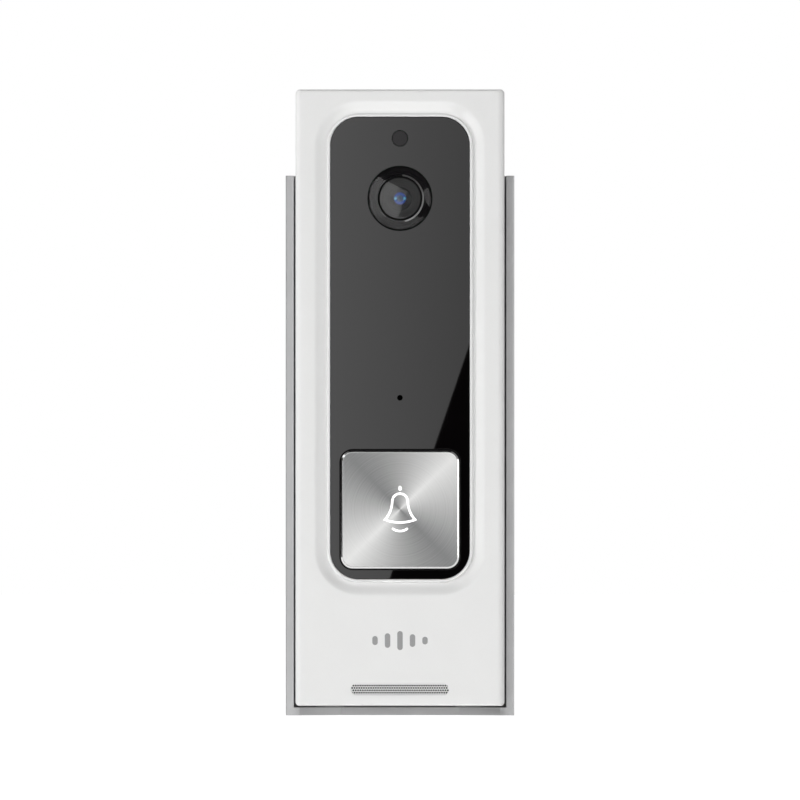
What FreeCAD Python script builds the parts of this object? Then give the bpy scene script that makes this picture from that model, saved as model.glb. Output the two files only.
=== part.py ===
"""A battery video doorbell in its U-shaped aluminium wall bracket.

Row frame in millimetres: +X to the right of the person who rings, +Z up, and the wall is the plane Y = 0 with
the doorbell in front of it at negative Y. The origin is the middle of the bracket's back face, on the wall.
The doorbell unit slides down into the bracket, rests on two pads on its lip, and is held by ribs in two side
grooves and by one security screw. The push button, the reset button and the flap over the charging port move.
"""

import FreeCAD
import Part

import math
import os

Vector = FreeCAD.Vector

# ---- doorbell unit: overall sizes -------------------------------------------------------------------------
UNIT_WIDTH = 46.0
UNIT_HEIGHT = 135.7
UNIT_DEPTH = 29.2
OUTLINE_RADIUS = 0.9          # corners of the unit as seen from the front
SIDE_EDGE_RADIUS = 1.4        # long front edges
END_EDGE_CHAMFER = 0.5        # top and bottom front edges
BACK_EDGE_CHAMFER = 0.6
FRONT_SHELL_DEPTH = 9.0       # from the front face to the seam
FACE_THICKNESS = 3.0
SHELL_WALL = 2.0

# ---- wall bracket -----------------------------------------------------------------------------------------
BRACKET_HEIGHT = 119.0
BRACKET_DEPTH = 24.0
BRACKET_PLATE = 2.0
BRACKET_WALL = 1.8
BRACKET_LIP = 1.8
BRACKET_SIDE_GAP = 0.4        # between a side wall and the unit
BRACKET_BACK_GAP = 0.3        # between the plate and the unit
REST_PAD_HEIGHT = 0.4
REST_PAD_SIZE = (6.0, 10.0)
LIP_NOTCH_DEPTH = 4.0
LIP_NOTCH_NARROW = 26.0
LIP_NOTCH_WIDE = 44.0
WALL_SCREW_SPACING = 60.0
WALL_SCREW_RADIUS = 2.1
WALL_SCREW_HEAD_RADIUS = 4.0
CABLE_OPENING = (21.0, 12.0)
CABLE_OPENING_RADIUS = 2.5
RAIL_WIDTH = 2.0
RAIL_REACH = 0.9              # how far a rail enters its groove
RAIL_CLEARANCE = 0.3
RAIL_SETBACK = 11.0           # from the wall to the rail's near side

# ---- front panel, its dish and its rim --------------------------------------------------------------------
PANEL_WIDTH = 30.6
PANEL_HEIGHT = 101.7
PANEL_RADIUS = 6.2
PANEL_THICKNESS = 1.5
PANEL_TOP_MARGIN = 6.05       # from the top of the unit
PANEL_SETBACK = 0.55          # behind the crown of the face
PANEL_CLEARANCE = 0.1
PANEL_LEDGE = 1.3
PANEL_TAPE = 0.1
RIM_WIDTH = 0.45
RIM_SETBACK = 0.5
DISH_DEPTH = 0.85
DISH_FLOOR_WIDTH = 0.5
DISH_SLOPE_WIDTH = 2.6

# ---- camera, below the top of the panel -------------------------------------------------------------------
CAMERA_DROP = 17.9
CAMERA_GLASS_RADIUS = 7.1
CAMERA_GLASS_THICKNESS = 0.8
CAMERA_GLASS_DOME = 0.35
CAMERA_HOLE_CLEARANCE = 0.05
BEZEL_WALL = 0.75
BEZEL_DEPTH = 3.4
BARREL_RADIUS = 5.05
BARREL_LENGTH = 9.0
BARREL_SETBACK = 1.0          # from the back of the glass to the barrel's nose
LENS_RADIUS = 2.6
LENS_DOME = 0.7
PUPIL_RADIUS = 1.4
PUPIL_THICKNESS = 1.6
BARREL_RIM = 0.5
LENS_SEAT_DEPTH = 0.9
PUPIL_DEPTH = 2.4             # from the barrel's nose
SENSOR_ROOM = 3.0             # between the barrel and the camera board
LENS_HOLDER_SIZE = 14.0
LENS_HOLDER_DEPTH = 8.0
CAMERA_BOARD = (37.0, 24.0)
BOARD_THICKNESS = 1.2
SENSOR_SIZE = (7.0, 6.0, 1.0)
IR_BOARD = (27.0, 28.5)
IR_BOARD_SETBACK = 1.85       # from the back of the panel
IR_LED_RADIUS = 1.5
IR_LED_HEIGHT = 1.5
IR_LED_CIRCLE = 9.6
IR_LED_ANGLES = (0, 45, 135, 180, 225, 315)
LIGHT_WINDOW_RADIUS = 1.7
LIGHT_WINDOW_RISE = 13.2      # above the camera
LIGHT_WINDOW_CLEARANCE = 0.1

# ---- microphone -------------------------------------------------------------------------------------------
MIC_HOLE_RADIUS = 0.6
MIC_DROP = 61.8               # below the top of the panel
MIC_BOOT_RADIUS = 2.4
MIC_SIZE = (3.5, 1.0, 2.6)

# ---- push button ------------------------------------------------------------------------------------------
BUTTON_SIZE = 26.0
BUTTON_RADIUS = 2.6
BUTTON_GAP = 0.3
BUTTON_MARGIN = 2.3           # from the bottom of the panel
BUTTON_PROUD = 0.4            # in front of the panel
BUTTON_TRAVEL = 0.6
BUTTON_RIM = 0.45
BUTTON_FRAME_DEPTH = 1.45
BUTTON_PLATE_THICKNESS = 0.6
BUTTON_PLATE_SETBACK = 0.05
BUTTON_FLANGE = 27.4
BUTTON_FLANGE_THICKNESS = 1.0
BUTTON_FLANGE_CLEARANCE = 0.4
BUTTON_SEAL_THICKNESS = 0.4
BUTTON_SEAL_WIDTH = 0.4
PLUNGER_RADIUS = 2.0
SWITCH_SIZE = 6.0
SWITCH_HEIGHT = 1.4
SWITCH_STEM_RADIUS = 1.5
SWITCH_STEM_CLEARANCE = 0.08
ICON_LED_SPACING = 10.0
ICON_LED_SIZE = (3.5, 1.0, 2.8)
LIGHT_WINDOW_IN_CARRIER = 2.4

# ---- bell pictogram, cut through the button plate ----------------------------------------------------------
BELL_STROKE = 0.5
BELL_DOME_RADIUS = 1.95
BELL_HALF_WIDTH = 3.75
BELL_HEIGHT = 6.1             # from the top of the dome to the corners of the mouth
BELL_MOUTH_SAG = 0.75
BELL_TOP_RISE = 3.75          # top of the dome above the button's middle
BELL_KNOB_RADIUS = 0.36
BELL_KNOB_HEIGHT = 0.3        # straight part of the knob
BELL_KNOB_RISE = 0.92         # middle of the knob above the dome
BELL_CLAPPER_HALF = 1.55
BELL_CLAPPER_SAG = 0.5
BELL_CLAPPER_DROP = 1.65      # below the mouth
LIGHT_GUIDE_SIZE = (11.0, 13.0)
LIGHT_GUIDE_THICKNESS = 0.7
LIGHT_GUIDE_CLEARANCE = 0.1

# ---- main board -------------------------------------------------------------------------------------------
MAIN_BOARD = (40.0, 80.0)
MAIN_BOARD_RISE = 3.4         # its middle above the middle of the battery bay
MAIN_BOARD_SETBACK = 5.9      # from the front face
MAIN_BOARD_SCREW = (34.4, 72.0)
SHIELD_SIZE = (16.0, 1.6, 15.0)
SHIELD_GAP = 1.0              # above the microphone boot, and below the radio module
WIFI_SIZE = (13.0, 2.0, 9.6)
WIFI_X = -5.0
ANTENNA_SIZE = (24.0, 7.0, 0.25)
FLEX_WIDTH = 8.0
FLEX_THICKNESS = 0.2
FLEX_BEND = 1.6
FLEX_SOCKET = (9.5, 0.9, 3.0)
FLEX_SOCKET_DEPTH = 2.0       # how far the ribbon enters its socket
FLEX_SOCKET_CLEARANCE = 0.05
FLEX_FLOOR_GAP = 0.35
WIRE_RADIUS = 0.35

# ---- speaker ----------------------------------------------------------------------------------------------
GRILLE_SIZE = (21.5, 2.4)
GRILLE_RISE = 3.7             # middle of the grille above the bottom of the unit
GRILLE_SKIN = 0.6             # thickness of the face at the grille
MESH_MARGIN = 0.45
MESH_THICKNESS = 0.3
MESH_HOLE_RADIUS = 0.17
MESH_PITCH = 0.52
MESH_ROWS = 4
MEMBRANE_THICKNESS = 0.15
SPEAKER_SIZE = (30.0, 18.5)
SPEAKER_FRAME_DEPTH = 3.2
SPEAKER_RISE = 0.4            # above the inside of the bottom wall
SPEAKER_CONE_MARGIN = 1.5
SPEAKER_CONE_DEPTH = 0.5
SPEAKER_MAGNET = (15.0, 11.0)
SPEAKER_MAGNET_DEPTH = 2.2
SPEAKER_TAPE = 1.0
SPEAKER_TAPE_WIDTH = 1.2
SPEAKER_CONTACT = (2.0, 0.3)
SPEAKER_CONTACT_OVERLAP = 2.2
SPEAKER_CONTACT_SPACING = 20.0

# ---- batteries and their bay ------------------------------------------------------------------------------
CELL_RADIUS = 9.2
CELL_LENGTH = 65.2
CELL_GAP = 0.3
CELL_NIB_RADIUS = 3.0
CELL_NIB_HEIGHT = 1.1
CELL_CLEARANCE = 0.2
BAY_END_ROOM = 2.65           # at each end of the cells, for the contacts
BAY_FLOOR = 1.2
BAY_DROP = 76.4               # middle of the bay below the top of the unit
BAY_END_WALL = 2.4
BAY_SIDE_WALL = 1.0
BAY_SIDE_ROOM = 0.6
BAY_WIRE_NOTCH = (16.0, 1.25, 2.1)
CONTACT_SIZE = (9.0, 0.3, 8.0)
SPRING_WIDTH = 6.0
TAIL_WIDTH = 2.0
TAIL_CLEARANCE = 0.2
DOOR_THICKNESS = 1.5
DOOR_OVERLAP = 1.3
DOOR_CLEARANCE = 0.15
DOOR_SEAL = 0.3
DOOR_LUG = (10.0, 5.4)
DOOR_LUG_RADIUS = 1.0
DOOR_SCREW_RISE = 2.6         # above the plain top edge of the door
DOOR_SCREW_SINK = 1.1
DOOR_TONGUE = (8.0, 1.2)
DOOR_TONGUE_THICKNESS = 0.7
DOOR_BOSS_LENGTH = 4.0

# ---- screws -----------------------------------------------------------------------------------------------
HOUSING_SCREW_RADIUS = 1.2
HOUSING_SCREW_LENGTH = 14.5
HOUSING_SCREW_HEAD = (2.2, 1.5)
HOUSING_SCREW_INSET = (4.7, 5.6)
HOUSING_SCREW_WELL = (2.6, 9.7)
BOSS_RADIUS = 2.4
COLUMN_RADIUS = 3.3
SMALL_SCREW_RADIUS = 0.8
SMALL_SCREW_LENGTH = 4.0
SMALL_SCREW_HEAD = (1.6, 1.0)
DRIVE_RADIUS = 0.75
DRIVE_DEPTH = 0.7
SECURITY_SCREW_RADIUS = 1.25
SECURITY_SCREW_LENGTH = 6.2
SECURITY_SCREW_HEAD = (2.35, 1.3)
SECURITY_SCREW_SETBACK = 14.0  # from the wall
SECURITY_CLEARANCE = 0.1      # in the lip
SECURITY_BORE_CLEARANCE = 0.3  # in the unit
SECURITY_BOSS_RADIUS = 3.0
SECURITY_BOSS_HEIGHT = 6.0

# ---- wired terminals in the back --------------------------------------------------------------------------
TERMINAL_RECESS = (22.0, 11.5, 7.0)
TERMINAL_RECESS_RISE = 13.2   # middle of the recess above the bottom of the unit
TERMINAL_SPACING = 11.0
TERMINAL_PLATE = (7.0, 0.6, 8.0)
TERMINAL_TAIL = (1.5, 6.5)
TERMINAL_BLOCK_DEPTH = 5.5
TERMINAL_BLOCK_WALL = 1.6
TERMINAL_SCREW_RADIUS = 1.5
TERMINAL_SCREW_LENGTH = 4.0
TERMINAL_SCREW_HEAD = (2.7, 1.6)

# ---- charging port and reset button, on the back above the bracket ----------------------------------------
PORT_DROP = 9.4               # middle of the port below the top of the unit
PORT_X = -4.0
SOCKET_SIZE = (9.0, 4.8, 3.3)
SOCKET_CLEARANCE = 0.3
FLAP_SIZE = (14.0, 8.0)
FLAP_THICKNESS = 1.2
FLAP_CLEARANCE = 0.25
FLAP_RADIUS = 1.2
FLAP_ROOT_SIZE = (8.0, 2.0)
FLAP_TAB = (4.0, 0.5)
FLAP_PLUG_HEIGHT = 0.6
CHARGE_BOARD = (29.0, 13.0)
CHARGE_BOARD_DEPTH = 7.0      # from the back of the unit to the board
CHARGE_BOARD_SCREW = 25.0
CHARGE_WIRES_X = (-13.2, -12.2, -11.2, -10.2)
RESET_X = 6.6
RESET_RADIUS = 2.1
RESET_CLEARANCE = 0.2
RESET_FLANGE = 0.6
RESET_SETBACK = 0.3
RESET_TRAVEL = 0.4
RESET_SWITCH = (4.5, 2.3)

# ---- perimeter seal ---------------------------------------------------------------------------------------
SEAL_INSET = 0.7
SEAL_SECTION = 0.8
SEAL_CORNER = 0.6

# ---- places that follow from the sizes --------------------------------------------------------------------
BRACKET_WIDTH = UNIT_WIDTH + 2 * (BRACKET_SIDE_GAP + BRACKET_WALL)
BRACKET_BOTTOM = -BRACKET_HEIGHT / 2
BRACKET_TOP = BRACKET_HEIGHT / 2
UNIT_BOTTOM = BRACKET_BOTTOM + BRACKET_LIP + REST_PAD_HEIGHT
UNIT_TOP = UNIT_BOTTOM + UNIT_HEIGHT
UNIT_MIDDLE = (UNIT_BOTTOM + UNIT_TOP) / 2
UNIT_BACK = -(BRACKET_PLATE + BRACKET_BACK_GAP)
UNIT_FRONT = UNIT_BACK - UNIT_DEPTH
SEAM = UNIT_FRONT + FRONT_SHELL_DEPTH
FACE_INSIDE = UNIT_FRONT + FACE_THICKNESS
BACK_INSIDE = UNIT_BACK - SHELL_WALL
INSIDE_WIDTH = UNIT_WIDTH - 2 * SHELL_WALL
INSIDE_TOP = UNIT_TOP - SHELL_WALL
INSIDE_BOTTOM = UNIT_BOTTOM + SHELL_WALL

PANEL_TOP = UNIT_TOP - PANEL_TOP_MARGIN
PANEL_MIDDLE = PANEL_TOP - PANEL_HEIGHT / 2
PANEL_FRONT = UNIT_FRONT + PANEL_SETBACK
PANEL_BACK = PANEL_FRONT + PANEL_THICKNESS
POCKET_FLOOR = PANEL_BACK + PANEL_TAPE
CAMERA_Z = PANEL_TOP - CAMERA_DROP
LIGHT_WINDOW_Z = CAMERA_Z + LIGHT_WINDOW_RISE
MIC_Z = PANEL_TOP - MIC_DROP
BUTTON_Z = PANEL_TOP - PANEL_HEIGHT + BUTTON_MARGIN + BUTTON_SIZE / 2
BUTTON_FRONT = PANEL_FRONT - BUTTON_PROUD
FLANGE_FRONT = PANEL_BACK + BUTTON_SEAL_THICKNESS
FLANGE_BACK = FLANGE_FRONT + BUTTON_FLANGE_THICKNESS

GLASS_BACK = PANEL_FRONT + CAMERA_GLASS_THICKNESS
BARREL_NOSE = GLASS_BACK + BARREL_SETBACK
LENS_SEAT = BARREL_NOSE + LENS_SEAT_DEPTH
PUPIL_FRONT = BARREL_NOSE + PUPIL_DEPTH
CAMERA_BOARD_FRONT = BARREL_NOSE + BARREL_LENGTH + SENSOR_ROOM
IR_BOARD_FRONT = PANEL_BACK + IR_BOARD_SETBACK
CAMERA_POST_X = (CAMERA_BOARD[0] - 4.6) / 2

MAIN_BOARD_FRONT = UNIT_FRONT + MAIN_BOARD_SETBACK
MAIN_BOARD_BACK = MAIN_BOARD_FRONT + BOARD_THICKNESS
BAY_MIDDLE = UNIT_TOP - BAY_DROP
MAIN_BOARD_MIDDLE = BAY_MIDDLE + MAIN_BOARD_RISE
MAIN_BOARD_TOP = MAIN_BOARD_MIDDLE + MAIN_BOARD[1] / 2
MAIN_BOARD_BOTTOM = MAIN_BOARD_MIDDLE - MAIN_BOARD[1] / 2
BAY_LENGTH = CELL_LENGTH + 2 * BAY_END_ROOM
BAY_WIDTH = 4 * CELL_RADIUS + CELL_GAP + 2 * (CELL_CLEARANCE + BAY_SIDE_ROOM)
CELL_X = CELL_RADIUS + CELL_GAP / 2
CELL_Y = UNIT_BACK - DOOR_THICKNESS - DOOR_SEAL - CELL_CLEARANCE - CELL_RADIUS
BAY_FLOOR_BACK = CELL_Y - CELL_RADIUS - CELL_CLEARANCE
BAY_FLOOR_FRONT = min(SEAM, BAY_FLOOR_BACK - BAY_FLOOR)
BAY_TOP = BAY_MIDDLE + BAY_LENGTH / 2
BAY_BOTTOM = BAY_MIDDLE - BAY_LENGTH / 2
DOOR_WIDTH = BAY_WIDTH + 2 * DOOR_OVERLAP
DOOR_HEIGHT = BAY_LENGTH + 2 * DOOR_OVERLAP
DOOR_LEDGE = UNIT_BACK - DOOR_THICKNESS - DOOR_SEAL
DOOR_TOP = BAY_MIDDLE + DOOR_HEIGHT / 2
DOOR_BOTTOM = BAY_MIDDLE - DOOR_HEIGHT / 2
DOOR_SCREW_Z = DOOR_TOP + DOOR_SCREW_RISE

GRILLE_Z = UNIT_BOTTOM + GRILLE_RISE
SKIN_BACK = UNIT_FRONT + GRILLE_SKIN
MESH_SIZE = (GRILLE_SIZE[0] + 2 * MESH_MARGIN, GRILLE_SIZE[1] + 2 * MESH_MARGIN)
MESH_BACK = SKIN_BACK + MESH_THICKNESS
SPEAKER_Z = INSIDE_BOTTOM + SPEAKER_RISE + SPEAKER_SIZE[1] / 2
SPEAKER_FRONT = FACE_INSIDE + SPEAKER_TAPE
SPEAKER_BACK = SPEAKER_FRONT + SPEAKER_FRAME_DEPTH

PORT_Z = UNIT_TOP - PORT_DROP
CHARGE_BOARD_BACK = UNIT_BACK - CHARGE_BOARD_DEPTH
TERMINAL_Z = UNIT_BOTTOM + TERMINAL_RECESS_RISE
TERMINAL_FLOOR = UNIT_BACK - TERMINAL_RECESS[2]
TERMINAL_TAIL_END = TERMINAL_FLOOR - TERMINAL_TAIL[1]
TERMINAL_TAIL_Z = TERMINAL_Z + TERMINAL_PLATE[2] / 2 - TERMINAL_PLATE[1]
HOUSING_SCREW_X = UNIT_WIDTH / 2 - HOUSING_SCREW_INSET[0]
HOUSING_SCREW_Z = (UNIT_BOTTOM + HOUSING_SCREW_INSET[1] - 0.6, UNIT_TOP - HOUSING_SCREW_INSET[1])
SECURITY_Y = -SECURITY_SCREW_SETBACK

PLATE_FRONT = BUTTON_FRONT + BUTTON_PLATE_SETBACK
PLATE_BACK = PLATE_FRONT + BUTTON_PLATE_THICKNESS
FRAME_BACK = BUTTON_FRONT + BUTTON_FRAME_DEPTH
PLATE_SIZE = BUTTON_SIZE - 2 * BUTTON_RIM
PICTOGRAM_Z = BUTTON_Z + 0.2
SWITCH_FRONT = MAIN_BOARD_FRONT - SWITCH_HEIGHT
STEM_FRONT = SWITCH_FRONT - BUTTON_TRAVEL - 0.05

FLAP_INSIDE = UNIT_BACK - FLAP_THICKNESS
FLAP_FLOOR = FLAP_INSIDE - 0.1
FLAP_HINGE_Z = PORT_Z - FLAP_SIZE[1] / 2

FLEX_MAIN_Y = MAIN_BOARD_BACK + FLEX_SOCKET[1] / 2
FLEX_CAMERA_Y = CAMERA_BOARD_FRONT - FLEX_SOCKET[1] / 2
FLEX_FLOOR = BAY_TOP + BAY_END_WALL + FLEX_FLOOR_GAP
FLEX_MAIN_TOP = MAIN_BOARD_TOP - 1.2
FLEX_CAMERA_TOP = CAMERA_Z - CAMERA_BOARD[1] / 2 + FLEX_SOCKET[2]


# ---- shape helpers ----------------------------------------------------------------------------------------
def outline(width, height, radius, y, x=0.0, z=0.0):
    """A rounded rectangle in the plane Y = y, as a wire."""
    right, top = width / 2, height / 2
    if radius <= 0:
        corners = [(-right, -top), (right, -top), (right, top), (-right, top), (-right, -top)]
        return Part.makePolygon([Vector(x + cx, y, z + cz) for cx, cz in corners])
    edges = []
    for turn, (sx, sz) in enumerate([(1, -1), (1, 1), (-1, 1), (-1, -1)]):
        centre = Vector(x + sx * (right - radius), y, z + sz * (top - radius))
        start = math.radians(90 * turn - 90)
        on_arc = [centre + Vector(radius * math.cos(a), 0, radius * math.sin(a))
                  for a in (start, start + math.pi / 4, start + math.pi / 2)]
        edges.append((on_arc, Part.Arc(*on_arc).toShape()))
    wire = []
    for (arc_points, arc), (next_points, _) in zip(edges, edges[1:] + edges[:1]):
        wire.append(arc)
        if (next_points[0] - arc_points[2]).Length > 1e-6:
            wire.append(Part.LineSegment(arc_points[2], next_points[0]).toShape())
    return Part.Wire(wire)


def slab(width, height, radius, front, back, x=0.0, z=0.0):
    """A rounded rectangular block between two planes of Y."""
    return Part.Face(outline(width, height, radius, front, x, z)).extrude(Vector(0, back - front, 0))


def ring_slab(size, inner, radius, inner_radius, front, back, x=0.0, z=0.0):
    """A rounded rectangular frame between two planes of Y."""
    frame = slab(size[0], size[1], radius, front, back, x, z)
    return frame.cut(slab(inner[0], inner[1], inner_radius, front, back, x, z))


def block(x0, x1, y0, y1, z0, z1):
    """A box between six planes."""
    return Part.makeBox(x1 - x0, y1 - y0, z1 - z0, Vector(x0, y0, z0))


def rod(radius, front, back, x=0.0, z=0.0):
    """A cylinder along Y."""
    return Part.makeCylinder(radius, back - front, Vector(x, front, z), Vector(0, 1, 0))


def cone(front_radius, back_radius, front, back, x=0.0, z=0.0):
    """A cone frustum along Y."""
    return Part.makeCone(front_radius, back_radius, back - front, Vector(x, front, z), Vector(0, 1, 0))


def tube(outer, inner, front, back, x=0.0, z=0.0):
    """A pipe along Y."""
    return rod(outer, front, back, x, z).cut(rod(inner, front, back, x, z))


def fused(first, *others):
    """One solid from several that meet."""
    return first.multiFuse(list(others)).removeSplitter() if others else first


def group(solids):
    """Several separate solids in one node."""
    return Part.makeCompound(solids)


def dome(radius, rise, apex, x, z):
    """A spherical cap whose top is at Y = apex and faces the visitor."""
    sphere_radius = (radius ** 2 + rise ** 2) / (2 * rise)
    ball = Part.makeSphere(sphere_radius, Vector(x, apex + sphere_radius, z))
    return ball.common(rod(radius, apex - 1, apex + rise, x, z))


def mirrored_pairs(x, *heights):
    """The places at plus and minus x, at each height."""
    return [(side * x, height) for height in heights for side in (-1, 1)]


def pan_screw(radius, length, head, tip_direction, seat, x, z):
    """A screw along Y. Its head sits on the plane Y = seat, and its shank points in tip_direction."""
    head_radius, head_height = head
    if tip_direction < 0:
        shank = rod(radius, seat - length, seat, x, z)
        cap = rod(head_radius, seat, seat + head_height, x, z)
        drive = rod(DRIVE_RADIUS, seat + head_height - DRIVE_DEPTH, seat + head_height, x, z)
    else:
        shank = rod(radius, seat, seat + length, x, z)
        cap = rod(head_radius, seat - head_height, seat, x, z)
        drive = rod(DRIVE_RADIUS, seat - head_height, seat - head_height + DRIVE_DEPTH, x, z)
    return fused(shank, cap).cut(drive)


def wire(*points):
    """A round insulated wire through the points."""
    line = [Vector(*point) for point in points]
    end = Part.Wire(Part.makeCircle(WIRE_RADIUS, line[0], line[1] - line[0]))
    return Part.Wire(Part.makePolygon(line)).makePipeShell([end], True, False, 1)


# ---- wall bracket -----------------------------------------------------------------------------------------
def lip_notch():
    """The set-back in the front edge of the lip, with slanted ends."""
    front = -BRACKET_DEPTH
    corners = [(-LIP_NOTCH_WIDE / 2, front - 1), (-LIP_NOTCH_WIDE / 2, front),
               (-LIP_NOTCH_NARROW / 2, front + LIP_NOTCH_DEPTH),
               (LIP_NOTCH_NARROW / 2, front + LIP_NOTCH_DEPTH),
               (LIP_NOTCH_WIDE / 2, front), (LIP_NOTCH_WIDE / 2, front - 1),
               (-LIP_NOTCH_WIDE / 2, front - 1)]
    face = Part.Face(Part.makePolygon([Vector(x, y, BRACKET_BOTTOM - 1) for x, y in corners]))
    return face.extrude(Vector(0, 0, BRACKET_LIP + 2))


def wall_bracket():
    """The aluminium cradle: back plate, two side walls with rails, and the lip that carries the unit."""
    half, inner = BRACKET_WIDTH / 2, BRACKET_WIDTH / 2 - BRACKET_WALL
    body = block(-half, half, -BRACKET_DEPTH, 0, BRACKET_BOTTOM, BRACKET_TOP)
    upright = [e for e in body.Edges if abs(e.BoundBox.ZLength - BRACKET_HEIGHT) < 1e-6]
    body = body.makeFillet(0.4, upright)
    body = body.cut(block(-inner, inner, -BRACKET_DEPTH - 1, -BRACKET_PLATE,
                          BRACKET_BOTTOM + BRACKET_LIP, BRACKET_TOP + 1))
    body = body.cut(lip_notch())
    rail_front = -RAIL_SETBACK - RAIL_WIDTH
    reach = BRACKET_SIDE_GAP + RAIL_REACH
    rail_foot = BRACKET_BOTTOM + BRACKET_LIP
    for side in (-1, 1):
        near, far = sorted((side * inner, side * (inner - reach)))
        body = body.fuse(block(near, far, rail_front, -RAIL_SETBACK, rail_foot, BRACKET_TOP))
    pad_x, pad_depth = REST_PAD_SIZE
    pad_top = BRACKET_BOTTOM + BRACKET_LIP + REST_PAD_HEIGHT
    for side in (-1, 1):
        middle = side * UNIT_WIDTH / 3
        body = body.fuse(block(middle - pad_x / 2, middle + pad_x / 2, SECURITY_Y - pad_depth / 2,
                               SECURITY_Y + pad_depth / 2, BRACKET_BOTTOM + BRACKET_LIP, pad_top))
    for z in (-WALL_SCREW_SPACING / 2, WALL_SCREW_SPACING / 2):
        body = body.cut(rod(WALL_SCREW_RADIUS, -BRACKET_PLATE, 0, 0, z))
        sink = WALL_SCREW_HEAD_RADIUS - WALL_SCREW_RADIUS
        sink_depth = min(sink, 0.6 * BRACKET_PLATE)
        body = body.cut(cone(WALL_SCREW_HEAD_RADIUS, WALL_SCREW_RADIUS, -BRACKET_PLATE,
                             -BRACKET_PLATE + sink_depth, 0, z))
    body = body.cut(slab(*CABLE_OPENING, CABLE_OPENING_RADIUS, -BRACKET_PLATE, 0, 0, TERMINAL_Z))
    hole = SECURITY_SCREW_RADIUS + SECURITY_CLEARANCE
    head_radius, head_height = SECURITY_SCREW_HEAD
    body = body.cut(Part.makeCylinder(hole, BRACKET_LIP, Vector(0, SECURITY_Y, BRACKET_BOTTOM)))
    body = body.cut(Part.makeCone(head_radius + SECURITY_CLEARANCE, hole, head_height,
                                  Vector(0, SECURITY_Y, BRACKET_BOTTOM)))
    return body.removeSplitter()


def security_screw():
    """A countersunk screw with a six-sided socket, up through the lip into the bottom of the unit."""
    head_radius, head_height = SECURITY_SCREW_HEAD
    foot = Vector(0, SECURITY_Y, BRACKET_BOTTOM)
    head = Part.makeCone(head_radius, SECURITY_SCREW_RADIUS, head_height, foot)
    shank = Part.makeCylinder(SECURITY_SCREW_RADIUS, SECURITY_SCREW_LENGTH, foot)
    corners = [foot + Vector(DRIVE_RADIUS * math.cos(math.radians(60 * k)),
                             DRIVE_RADIUS * math.sin(math.radians(60 * k)), 0) for k in range(7)]
    socket = Part.Face(Part.makePolygon(corners)).extrude(Vector(0, 0, DRIVE_DEPTH + 0.2))
    return fused(head, shank).cut(socket)


# ---- housing ----------------------------------------------------------------------------------------------
def face_block():
    """The outside of the front shell, before anything is cut in it."""
    half = UNIT_WIDTH / 2
    bend = SIDE_EDGE_RADIUS * (1 - math.sqrt(0.5))
    points = {
        "left_seam": Vector(-half, SEAM, UNIT_BOTTOM),
        "left_side": Vector(-half, UNIT_FRONT + SIDE_EDGE_RADIUS, UNIT_BOTTOM),
        "left_bend": Vector(-half + bend, UNIT_FRONT + bend, UNIT_BOTTOM),
        "left_face": Vector(-half + SIDE_EDGE_RADIUS, UNIT_FRONT, UNIT_BOTTOM),
        "right_face": Vector(half - SIDE_EDGE_RADIUS, UNIT_FRONT, UNIT_BOTTOM),
        "right_bend": Vector(half - bend, UNIT_FRONT + bend, UNIT_BOTTOM),
        "right_side": Vector(half, UNIT_FRONT + SIDE_EDGE_RADIUS, UNIT_BOTTOM),
        "right_seam": Vector(half, SEAM, UNIT_BOTTOM),
    }
    plan = Part.Wire([
        Part.LineSegment(points["left_seam"], points["left_side"]).toShape(),
        Part.Arc(points["left_side"], points["left_bend"], points["left_face"]).toShape(),
        Part.LineSegment(points["left_face"], points["right_face"]).toShape(),
        Part.Arc(points["right_face"], points["right_bend"], points["right_side"]).toShape(),
        Part.LineSegment(points["right_side"], points["right_seam"]).toShape(),
        Part.LineSegment(points["right_seam"], points["left_seam"]).toShape(),
    ])
    body = Part.Face(plan).extrude(Vector(0, 0, UNIT_HEIGHT))
    body = body.common(slab(UNIT_WIDTH, UNIT_HEIGHT, OUTLINE_RADIUS, UNIT_FRONT, SEAM, 0, UNIT_MIDDLE))
    for end, inward in ((UNIT_TOP, -1), (UNIT_BOTTOM, 1)):
        wedge = [Vector(-half - 1, UNIT_FRONT - 1, end + inward * (END_EDGE_CHAMFER + 1)),
                 Vector(-half - 1, UNIT_FRONT + END_EDGE_CHAMFER + 1, end - inward),
                 Vector(-half - 1, UNIT_FRONT - 1, end - inward)]
        body = body.cut(Part.Face(Part.makePolygon(wedge + wedge[:1])).extrude(Vector(UNIT_WIDTH + 2, 0, 0)))
    return body


def dish_and_rim():
    """What is cut away round the panel: a sloped dish with a flat floor, less the rim that stands in it."""
    rim = PANEL_CLEARANCE + RIM_WIDTH
    floor = rim + DISH_FLOOR_WIDTH
    brim = floor + DISH_SLOPE_WIDTH
    outer = outline(PANEL_WIDTH + 2 * brim, PANEL_HEIGHT + 2 * brim, PANEL_RADIUS + brim, UNIT_FRONT, 0,
                    PANEL_MIDDLE)
    inner = outline(PANEL_WIDTH + 2 * floor, PANEL_HEIGHT + 2 * floor, PANEL_RADIUS + floor,
                    UNIT_FRONT + DISH_DEPTH, 0, PANEL_MIDDLE)
    dish = Part.makeLoft([outer, inner], True, True)
    return dish.cut(slab(PANEL_WIDTH + 2 * rim, PANEL_HEIGHT + 2 * rim, PANEL_RADIUS + rim,
                         UNIT_FRONT + RIM_SETBACK, UNIT_FRONT + DISH_DEPTH, 0, PANEL_MIDDLE))


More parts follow.
